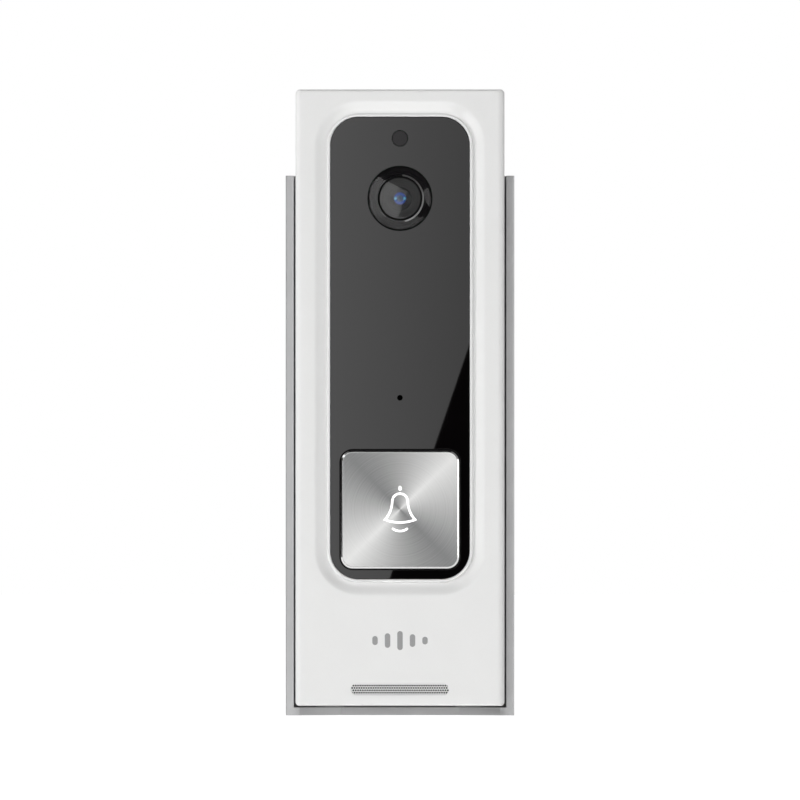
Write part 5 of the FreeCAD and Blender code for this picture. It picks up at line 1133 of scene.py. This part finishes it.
@dataclass
class Camera:
    """The camera behind its domed cover, and the light sensor's window above it."""

    wardrobe: Wardrobe
    dome: float = 0.35 * MM
    front_dome: float = 0.7 * MM
    coated_dome: float = 0.25 * MM
    window_dome: float = 0.001 * MM
    dome_reach: float = 0.985
    dome_steps: int = 14
    edge: float = 0.12 * MM
    lines: Sequence[Pair] = ((4.50 * MM, 4.92 * MM), (6.84 * MM, 7.08 * MM))
    ink: float = 0.012 * MM
    clip: Pair = (0.42 * MM, 0.30 * MM)
    clip_fall: float = 0.10 * MM
    clip_back: float = 0.05 * MM
    clip_open: Pair = (math.radians(-78.0), math.radians(84.0))
    clip_steps: int = 40
    lip: float = 0.375 * MM
    throat_gap: float = 0.1 * MM
    funnel_steps: int = 3
    tread: Pair = (0.75, 0.35)
    rim: float = 0.5 * MM
    rim_outer_soft: float = 0.15 * MM
    rim_inner_soft: float = 0.1 * MM
    seat_depth: float = 0.9 * MM
    baffles: int = 5

    def __post_init__(self) -> None:
        """Reads the camera's axis."""
        self.axis = middle_of("camera_glass")[::2]

    def part(self, name: str, slot: str, profile: Sequence[Pair], steps: int = 96, finish: str = "") -> None:
        """Turns one part of the camera.

        Args:
            name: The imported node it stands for.
            slot: Its material slot.
            profile: Radius and y of its points.
            steps: Divisions of a turn.
            finish: Its finish, where that isn't the slot's own.
        """
        skin = Skin(name + "_turned")
        skin.turned(profile, middle_of(name)[::2], steps)
        self.wardrobe.wear(skin.done(), slot, "unit", name, finish=finish)

    def domed(self, radius: float, front: float, back: float, rise: float, hollow: float = 0.0) -> List[Pair]:
        """The profile of a disc with a domed front and a small edge round it.

        Args:
            radius: Of the disc.
            front: The dome's crown.
            back: The back's edge.
            rise: The height of the dome.
            hollow: How far the back curves in.

        Returns:
            Its points, from the crown to the middle of the back.
        """
        reach = radius * self.dome_reach
        shares = [i / self.dome_steps for i in range(self.dome_steps + 1)]
        points = [(reach * share, front + rise * share ** 2) for share in shares]
        points += [(radius, front + rise + self.edge), (radius, back - self.edge / 2.0),
                   (radius - self.edge / 2.0, back)]
        points += [(reach * share, back - hollow * (1.0 - share ** 2)) for share in reversed(shares)]
        return points

    def build(self) -> None:
        """Makes the glass, the bezel, the barrel, the lenses and the window."""
        self.build_disc("camera_glass", "cover_glass", 96, self.dome, self.dome)
        self.build_bezel()
        self.build_barrel()
        self.build_disc("lens_front_element", "lens_glass", 64, self.front_dome)
        self.build_disc("lens_coated_element", "lens_coating", 48, self.coated_dome)
        self.build_disc("light_sensor_window", "smoked_window", 64, self.window_dome)

    def build_disc(self, node: str, slot: str, steps: int, rise: float, hollow: float = 0.0) -> None:
        """Makes a disc of glass with a domed front."""
        low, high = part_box(node)
        self.part(node, slot, self.domed(radius_of(node), low.y, high.y, rise, hollow), steps)

    def build_bezel(self) -> None:
        """Makes the black funnel: a flat lip, then fine steps down to its throat."""
        low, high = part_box("camera_bezel")
        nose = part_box("lens_barrel")[0].y
        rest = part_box("front_panel")[1].y
        outer = radius_of("camera_bezel")
        throat = radius_of("lens_barrel") + self.throat_gap
        mouth = outer - self.lip
        step = (mouth - throat) / self.funnel_steps
        fall = (nose - low.y) / self.funnel_steps
        profile = [(outer, low.y), (mouth, low.y)]
        for i in range(self.funnel_steps):
            profile += [(mouth - step * (i + self.tread[0]), low.y + fall * (i + self.tread[1])),
                        (mouth - step * (i + 1.0), low.y + fall * (i + 1.0))]
        profile += [(throat, high.y), (mouth, high.y), (mouth, rest), (outer, rest)]
        self.part("camera_bezel", "black_matte", profile)
        self.build_lines()
        self.build_clip(nose, throat)

    def build_lines(self) -> None:
        """Prints the two black lines on the domed glass."""
        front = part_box("camera_glass")[0].y
        radius = radius_of("camera_glass")
        skin = Skin("camera_glass_lines")
        for inner, outer in self.lines:
            across = (inner, (inner + outer) / 2.0, outer)
            crest = [(r, front + self.dome * (r / radius) ** 2) for r in across]
            skin.turned([(r, y - self.ink) for r, y in crest] + [(r, y + self.ink) for r, y in crest[::-1]],
                        self.axis)
        self.wardrobe.wear(skin.done(), "black_matte", "unit", finish="printed_black")

    def build_clip(self, nose: float, throat: float) -> None:
        """Makes the open spring clip that holds the barrel, seen through the glass.

        Args:
            nose: The front of the barrel.
            throat: The radius of the funnel's throat.
        """
        skin = Skin("lens_clip")
        inner = throat - self.clip[0] / 2.0
        outer = throat + self.clip[0] / 2.0
        front = nose - self.clip[1]
        back = nose - self.clip_back
        section = ((inner, front), (outer, front + self.clip_fall), (outer, back), (inner, back))
        first, last = self.clip_open
        turns = [first + (last - first) * step / self.clip_steps for step in range(self.clip_steps + 1)]
        rings = [[swung(self.axis, radius, y, turn) for radius, y in section] for turn in turns]
        made = skin.loft(rings)
        skin.mesh.faces.new(made[0])
        skin.mesh.faces.new(made[-1])
        self.wardrobe.wear(skin.done(), "black_matte", "unit", finish="clip_metal")

    def build_barrel(self) -> None:
        """Makes the lens tube: a rounded rim, then light baffles stepping in to the front element."""
        low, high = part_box("lens_barrel")
        outer = radius_of("lens_barrel")
        inner = outer - self.rim
        start = low.y + self.rim_inner_soft
        seat = low.y + self.seat_depth
        seat_radius = radius_of("lens_front_element")
        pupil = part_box("lens_coated_element")[0].y
        bore = radius_of("lens_coated_element")
        profile = [(outer, high.y), (outer, low.y + self.rim_outer_soft),
                   (outer - self.rim_outer_soft, low.y), (inner + self.rim_inner_soft, low.y), (inner, start)]
        reach = inner - (seat_radius + self.rim)
        for i in range(self.baffles):
            near, far = i / self.baffles, (i + 1) / self.baffles
            depth = start + (seat - start) * far
            profile += [(inner - reach * near, depth), (inner - reach * far, depth)]
        profile += [(seat_radius, seat), (seat_radius, pupil), (bore, pupil), (bore, high.y)]
        self.part("lens_barrel", "black_matte", profile, finish="barrel_black")


@dataclass
class Button:
    """The push button's bright frame, with a flat bevel round the spun plate."""

    wardrobe: Wardrobe
    corner: float = 2.6 * MM
    bevel: float = 0.36 * MM
    bevel_fall: float = 0.17 * MM
    rim: float = 0.45 * MM
    window: Pair = (11.0 * MM, 13.0 * MM)
    window_corner: float = 1.0 * MM
    soft: float = 0.03 * MM
    shy: float = 0.02 * MM
    crease: float = math.radians(20.0)
    steps: int = 14

    def build(self) -> None:
        """Makes the frame."""
        low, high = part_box("button_frame")
        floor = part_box("button_plate")[1].y
        outside = outline_of("button_frame", self.corner)
        inside = outside.grown(-self.rim)
        window = Oblong(self.window[0] / 2.0, self.window[1] / 2.0, self.window_corner,
                        middle_of("bell_light_guide")[::2])
        bevel = low.y + self.bevel_fall
        places = ((outside, high.y), (outside, bevel + self.soft), (outside.grown(-self.shy), bevel),
                  (outside.grown(-self.bevel), low.y), (inside.grown(self.soft), low.y),
                  (inside, low.y + self.soft), (inside, floor), (window, floor), (window, high.y))
        skin = Skin("button_frame_polished")
        skin.loft([outline.ring(y, self.steps) for outline, y in places], closed=True)
        self.wardrobe.wear(skin.done(self.crease), "bright_frame", "button", "button_frame")


@dataclass
class Grille:
    """The perforated steel strip behind the speaker slot, grown from rows of holes."""

    wardrobe: Wardrobe
    hole: float = 0.205 * MM
    pitch: float = 0.52 * MM
    rows: int = 4
    columns: int = 41
    hole_sides: int = 10
    end_share: float = 0.499
    end_sides: int = 8

    def build(self) -> None:
        """Grows the strip."""
        low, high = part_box("speaker_mesh")
        recipe = Recipe("speaker_mesh_strip", {
            "Width": high.x - low.x, "Height": high.z - low.z, "Thickness": high.y - low.y,
            "Hole Radius": self.hole, "Pitch": self.pitch, "Rows": self.rows, "Columns": self.columns,
            "Hole Sides": self.hole_sides, "Middle": tuple((low + high) / 2.0),
            "Material": self.wardrobe.materials["mesh_steel"]})
        sheet = self.sheet(recipe)
        solid = self.thickened(recipe, sheet)
        placed = recipe.node("GeometryNodeTransform", {}, {"Geometry": solid,
                                                          "Translation": recipe.given("Middle"),
                                                          "Rotation": (math.radians(90.0), 0.0, 0.0)})
        recipe.finish(placed.outputs[0])
        self.wardrobe.wear(recipe.grow([Vector()]), "mesh_steel", "unit", "speaker_mesh")

    def holes(self, recipe: Recipe) -> bpy.types.NodeSocket:
        """Circles in staggered rows.

        Args:
            recipe: The tree.

        Returns:
            The circles, as curves.
        """
        rows, columns, pitch = recipe.given("Rows"), recipe.given("Columns"), recipe.given("Pitch")
        grid = recipe.node("GeometryNodeMeshGrid", {}, {"Size X": (columns - 1.0) * pitch,
                                                        "Size Y": (rows - 1.0) * pitch,
                                                        "Vertices X": columns, "Vertices Y": rows})
        row = recipe.signal(recipe.node("GeometryNodeInputIndex")) % rows
        aside = ((row % 2.0) * 0.5 - 0.25) * pitch
        moved = recipe.node("GeometryNodeSetPosition", {}, {"Geometry": grid.outputs[0],
                                                            "Offset": recipe.join(aside, 0.0, 0.0)})
        circle = recipe.node("GeometryNodeCurvePrimitiveCircle", {"mode": "RADIUS"}, {
            "Resolution": recipe.given("Hole Sides"), "Radius": recipe.given("Hole Radius")})
        placed = recipe.node("GeometryNodeInstanceOnPoints", {}, {"Points": moved.outputs[0],
                                                                  "Instance": circle.outputs[0]})
        return recipe.node("GeometryNodeRealizeInstances", {}, {0: placed.outputs[0]}).outputs[0]

    def sheet(self, recipe: Recipe) -> bpy.types.NodeSocket:
        """The flat strip with round ends, less its holes.

        Args:
            recipe: The tree.

        Returns:
            The strip, as a flat mesh.
        """
        border = recipe.node("GeometryNodeCurvePrimitiveQuadrilateral", {"mode": "RECTANGLE"},
                             {"Width": recipe.given("Width"), "Height": recipe.given("Height")})
        ends = recipe.node("GeometryNodeFilletCurve", {"mode": "POLY"}, {
            "Curve": border.outputs[0], "Radius": recipe.given("Height") * self.end_share,
            "Count": self.end_sides})
        both = recipe.united(ends.outputs[0], self.holes(recipe))
        return recipe.node("GeometryNodeFillCurve", {}, {0: both}).outputs[0]

    def thickened(self, recipe: Recipe, sheet: bpy.types.NodeSocket) -> bpy.types.NodeSocket:
        """The strip with its thickness, half each way from the flat one.

        Args:
            recipe: The tree.
            sheet: The flat strip.

        Returns:
            The closed strip.
        """
        thick = recipe.given("Thickness")
        lowered = recipe.node("GeometryNodeSetPosition", {}, {
            "Geometry": sheet, "Offset": recipe.join(0.0, 0.0, thick * -0.5)})
        raised = recipe.node("GeometryNodeExtrudeMesh", {"mode": "FACES"}, {
            "Mesh": lowered.outputs[0], "Offset": recipe.join(0.0, 0.0, thick), "Offset Scale": 1.0,
            "Individual": False})
        under = recipe.node("GeometryNodeFlipFaces", {}, {0: lowered.outputs[0]})
        return recipe.united(raised.outputs[0], under.outputs[0])


class Facing(Enum):
    """Which way a screw's head looks, as the turn that takes it there from +Z."""

    WALL = (-90.0, 0.0, 0.0)
    FLOOR = (180.0, 0.0, 0.0)


class Stretch(Enum):
    """The stretches of a screw's outline, as shares of the way from its recess to its tip."""

    FLOOR = (0.0, 0.05)
    WALL = (0.05, 0.1)
    CROWN = (0.1, 0.25)
    SIDE = (0.25, 0.3)
    UNDERSIDE = (0.3, 0.35)
    SHANK = (0.35, 0.95)
    THREAD_IN = (0.36, 0.40)
    THREAD_OUT = (0.93, 0.95)
    TIP = (0.95, 1.0)


@dataclass
class Screws:
    """One set of like screws: a domed head with a six-lobed recess, and a shank with a real thread."""

    wardrobe: Wardrobe
    node: str
    slot: str
    body: str
    facing: Facing
    head: Pair
    shank: float
    thread: float = 0.16 * MM
    pitch: float = 0.55 * MM
    recess: Pair = (0.5, 0.55)
    lobes: float = 6.0
    lobe_swell: float = 0.13
    crown_fall: float = 0.45
    sides: int = 36
    levels: int = 121

    def build(self) -> None:
        """Grows the set."""
        solids = islands(self.node)
        along = 1 if self.facing is Facing.WALL else 2
        length = solids[0][1][along] - solids[0][0][along]
        recipe = Recipe(self.node + "_threaded", {
            "Head Radius": self.head[0], "Head Height": self.head[1], "Shank Radius": self.shank,
            "Length": length - self.head[1], "Thread": self.thread, "Pitch": self.pitch,
            "Recess Radius": self.head[0] * self.recess[0],
            "Recess Depth": self.head[1] * self.recess[1], "Sides": self.sides, "Levels": self.levels,
            "Turn": tuple(math.radians(a) for a in self.facing.value),
            "Material": self.wardrobe.materials[self.slot]})
        one = self.screw(recipe)
        placed = recipe.node("GeometryNodeInstanceOnPoints", {}, {
            "Points": recipe.start.outputs[0], "Instance": one, "Rotation": recipe.given("Turn")})
        recipe.finish(placed.outputs[0])
        piece = recipe.grow([self.seat(low, high) for low, high in solids])
        self.wardrobe.wear(piece, self.slot, self.body, self.node)

    def seat(self, low: Vector, high: Vector) -> Vector:
        """Where the underside of a head sits.

        Args:
            low: The lowest corner of a screw's box.
            high: Its highest corner.

        Returns:
            The place.
        """
        middle = (low + high) / 2.0
        if self.facing is Facing.WALL:
            return Vector((middle.x, high.y - self.head[1], middle.z))
        return Vector((middle.x, middle.y, low.z + self.head[1]))

    def screw(self, recipe: Recipe) -> bpy.types.NodeSocket:
        """One screw about Z, its head upwards from the origin.

        Args:
            recipe: The tree.

        Returns:
            The screw, with its seam and poles merged.
        """
        given = recipe.given
        levels = given("Levels")
        grid = recipe.node("GeometryNodeMeshGrid", {}, {"Size X": 1.0, "Size Y": 1.0,
                                                        "Vertices X": given("Sides") + 1.0,
                                                        "Vertices Y": levels})
        index = recipe.signal(recipe.node("GeometryNodeInputIndex"))
        turn = (index / levels).floor() * (2.0 * math.pi) / given("Sides")
        way = (index % levels) / (levels - 1.0)
        reached = {stretch: way.ramp(*stretch.value) for stretch in Stretch}
        recess = given("Recess Radius") * (1.0 + self.lobe_swell * (turn * self.lobes).cosine())
        shank = given("Shank Radius") - given("Thread")
        depth = given("Length") * reached[Stretch.SHANK]
        wave = 0.5 + 0.5 * ((depth / given("Pitch") + turn / (2.0 * math.pi)) * (2.0 * math.pi)).cosine()
        threaded = wave * given("Thread") * reached[Stretch.THREAD_IN] * (1.0 - reached[Stretch.THREAD_OUT])
        crown = reached[Stretch.CROWN]
        radius = (recess * reached[Stretch.FLOOR] + (given("Head Radius") - recess) * crown
                  - (given("Head Radius") - shank) * reached[Stretch.UNDERSIDE] + threaded
                  - shank * reached[Stretch.TIP])
        height = (given("Head Height") - given("Recess Depth") * (1.0 - reached[Stretch.WALL])
                  - given("Head Height") * self.crown_fall * crown * crown
                  - given("Head Height") * (1.0 - self.crown_fall) * reached[Stretch.SIDE] - depth)
        placed = recipe.node("GeometryNodeSetPosition", {}, {
            "Geometry": grid.outputs[0],
            "Position": recipe.join(radius * turn.cosine(), radius * turn.sine(), height)})
        return recipe.node("GeometryNodeMergeByDistance", {}, {"Geometry": placed.outputs[0],
                                                               "Distance": TINY}).outputs[0]


# ---- studio --------------------------------------------------------------------------------------------
@dataclass(frozen=True)
class Lamp:
    """A square soft lamp."""

    name: str
    place: Tuple[float, float, float]
    size: float
    power: float
    glossy: bool = False


@dataclass
class Studio:
    """Camera, lamps and floor, and the cards that light or darken what gloss shows."""

    width: float = 176.08 * MM
    lens: float = 1000.0
    sensor: float = 36.0
    clip_end: float = 100.0
    middle: float = 10.05 * MM
    card_distance: float = 0.9782
    world: float = 0.42
    world_tilt: float = 0.22
    shades: Sequence[Tuple[str, Tuple[float, float, float], float]] = (
        ("shade_left", (-0.53, -0.40, 0.02), 0.22), ("shade_top", (0.0, -0.40, 0.54), 0.22))
    lip_shade: Tuple[float, float, float] = (4.0 * MM, 4.0 * MM, 1.2 * MM)
    lip_shade_side: float = 0.3 * MM
    floor_half: float = 3.0
    floor_tones: Pair = (0.36, 0.40)
    floor_grain: float = 40.0 * MM
    floor_roughness: float = 0.9
    floor_glow: float = 0.96
    card_corners: Sequence[Pair] = ((0.046, 0.096), (-0.300, 0.283), (-0.45, -0.20), (-0.099, -0.330))
    card_levels: Pair = (1.95, 1.22)
    card_fade: float = 0.02
    wedge_corners: Sequence[Pair] = ((0.144, 0.093), (0.177, 0.126), (0.200, 0.059), (0.191, -0.011))
    wedge_level: float = 1.4
    flag_half: Pair = (0.34, 0.42)
    flag_behind: float = 0.02
    lamp_aim: float = -0.02
    lamps: Sequence[Lamp] = (
        Lamp("key", (-1.3, -0.8, 0.30), 1.2, 7.0, True), Lamp("fill", (1.1, -0.85, 0.05), 0.5, 1.6, True),
        Lamp("side", (-1.2, -0.55, -0.1), 0.7, 19.0), Lamp("rim", (1.2, -0.6, -0.1), 0.7, 7.0),
        Lamp("top", (0.0, -0.9, 1.1), 0.7, 2.0), Lamp("front", (0.0, -1.15, -0.72), 0.5, 16.5))

    def staged(self, name: str, points: Sequence[Vector], material: bpy.types.Material,
               glossy_only: bool) -> bpy.types.Object:
        """A flat studio piece.

        Args:
            name: Its name.
            points: Its corners.
            material: Its material.
            glossy_only: True if only reflections see it.

        Returns:
            Its object.
        """
        data = bpy.data.meshes.new(name)
        data.from_pydata([tuple(point) for point in points], [], [tuple(range(len(points)))])
        data.materials.append(material)
        made = added(name, data)
        if glossy_only:
            made.visible_camera = made.visible_diffuse = False
            made.visible_shadow = made.visible_transmission = False
        made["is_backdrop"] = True
        return made

    def across(self, places: Sequence[Pair], y: float) -> List[Vector]:
        """Places across the view, measured from its middle, as points at that y."""
        return [Vector((x, y, self.middle + z)) for x, z in places]

    def build(self) -> None:
        """Sets up the whole studio."""
        bpy.context.scene.view_settings.view_transform = "Standard"
        self.build_camera()
        self.build_world()
        self.build_floor()
        self.build_card()
        self.build_shades()
        for lamp in self.lamps:
            self.build_lamp(lamp)

    def build_camera(self) -> None:
        """Puts a long lens straight in front, level with the middle of the view."""
        data = bpy.data.cameras.new("camera")
        data.lens = self.lens
        data.sensor_width = self.sensor
        data.clip_end = self.clip_end
        made = added("camera", data)
        distance = self.width / self.sensor * self.lens
        made.location = (0.0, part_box("front_shell")[0].y - distance, self.middle)
        made.rotation_euler = (math.radians(90.0), 0.0, 0.0)
        bpy.context.scene.camera = made

    def build_world(self) -> None:
        """Soft light from all round, stronger from below, in front of a plain white background."""
        world = bpy.data.worlds.new("studio")
        bpy.context.scene.world = world
        world.use_nodes = True
        tree = Tree(world.node_tree)
        way = tree.node("ShaderNodeTexCoord").outputs["Generated"]
        _, _, up = tree.split(way)
        light = tree.node("ShaderNodeBackground", {}, {"Strength": self.world - self.world_tilt * up})
        white = tree.node("ShaderNodeBackground", {}, {"Color": (1.0, 1.0, 1.0), "Strength": 1.0})
        seen = tree.node("ShaderNodeLightPath").outputs["Is Camera Ray"]
        both = tree.node("ShaderNodeMixShader", {}, {0: seen, 1: light.outputs[0], 2: white.outputs[0]})
        tree.node("ShaderNodeOutputWorld", {}, {0: both.outputs[0]})

    def build_floor(self) -> None:
        """Lays a plain pale floor that throws no light on the object."""
        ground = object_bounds()[0][2]
        on = Surface("floor_paint")
        first, second = self.floor_tones
        tone = on.mix(on.noise(self.floor_grain), grey(first), grey(second))
        paint = on.finish(on.node("ShaderNodeBsdfPrincipled", {}, {
            "Base Color": tone, "Roughness": self.floor_roughness, "Emission Color": (1.0, 1.0, 1.0),
            "Emission Strength": self.floor_glow}))
        places = [Vector((x * self.floor_half, y * self.floor_half, ground)) for x, y in SQUARE]
        self.staged("floor", places, paint, False).visible_diffuse = False

    def build_card(self) -> None:
        """Hangs a tilted card and a wedge in front of a black flag, seen only in reflections."""
        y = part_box("front_shell")[0].y - self.card_distance
        on = Surface("card_glow")
        x, _, _ = on.split(on.place)
        left, right = self.card_levels
        level = left + (right - left) * x.ramp(-self.card_fade, self.card_fade)
        self.staged("card", self.across(self.card_corners, y), on.glow(level), True)
        wedge = Surface("wedge_glow").glow(self.wedge_level)
        self.staged("wedge", self.across(self.wedge_corners, y), wedge, True)
        wide, tall = self.flag_half
        flag = self.across([(x * wide, z * tall) for x, z in SQUARE], y - self.flag_behind)
        self.staged("flag", flag, Surface("flag_black").glow(0.0), True)

    def build_shades(self) -> None:
        """Hangs two black cards that only gloss sees, and a small one that shades the bracket's lip."""
        black = Surface("shade_black").glow(0.0)
        for name, place, half in self.shades:
            middle = Vector(place)
            turn = (Vector((0.0, 0.0, self.middle)) - middle).to_track_quat("Z", "Y")
            places = [middle + turn @ Vector((x * half, y * half, 0.0)) for x, y in SQUARE]
            self.staged(name, places, black, True)
        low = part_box("wall_bracket")[0]
        ahead, below, above = self.lip_shade
        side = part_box("front_shell")[1].x - self.lip_shade_side
        heights = {-1.0: low.z - below, 1.0: low.z + above}
        places = [Vector((x * side, low.y - ahead, heights[z])) for x, z in SQUARE]
        self.staged("lip_shade", places, black, False).visible_camera = False

    def build_lamp(self, lamp: Lamp) -> None:
        """Hangs a lamp that looks at the middle of the view.

        Args:
            lamp: The lamp, with its power in watts.
        """
        data = bpy.data.lights.new(lamp.name, "AREA")
        data.shape = "SQUARE"
        data.size = lamp.size
        data.energy = lamp.power
        made = added(lamp.name, data)
        made.location = lamp.place
        aim = Vector((0.0, self.lamp_aim, self.middle)) - Vector(lamp.place)
        made.rotation_euler = aim.to_track_quat("-Z", "Y").to_euler()
        made.visible_camera = False
        made.visible_glossy = lamp.glossy


def main() -> None:
    """Builds every sub-assembly in order."""
    logging.basicConfig(level=logging.INFO, format="%(name)s: %(message)s")
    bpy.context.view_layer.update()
    wardrobe = Wardrobe()
    wardrobe.dress_nodes()
    Studio().build()
    Shell(wardrobe).build()
    Badge(wardrobe).build()
    Camera(wardrobe).build()
    Button(wardrobe).build()
    Grille(wardrobe).build()
    sets = (("housing_screws", "screw_steel", "unit", Facing.WALL, (2.2 * MM, 1.5 * MM), 1.2 * MM),
            ("battery_door_screw", "screw_steel", "unit", Facing.WALL, (1.6 * MM, 1.0 * MM), 0.8 * MM),
            ("terminal_screws", "terminal_brass", "unit", Facing.WALL, (2.7 * MM, 1.6 * MM), 1.5 * MM),
            ("security_screw", "screw_steel", "bracket", Facing.FLOOR, (2.35 * MM, 1.3 * MM), 1.25 * MM))
    for node, slot, body, facing, head, shank in sets:
        Screws(wardrobe, node, slot, body, facing, head, shank).build()


if __name__ == "__main__":
    main()
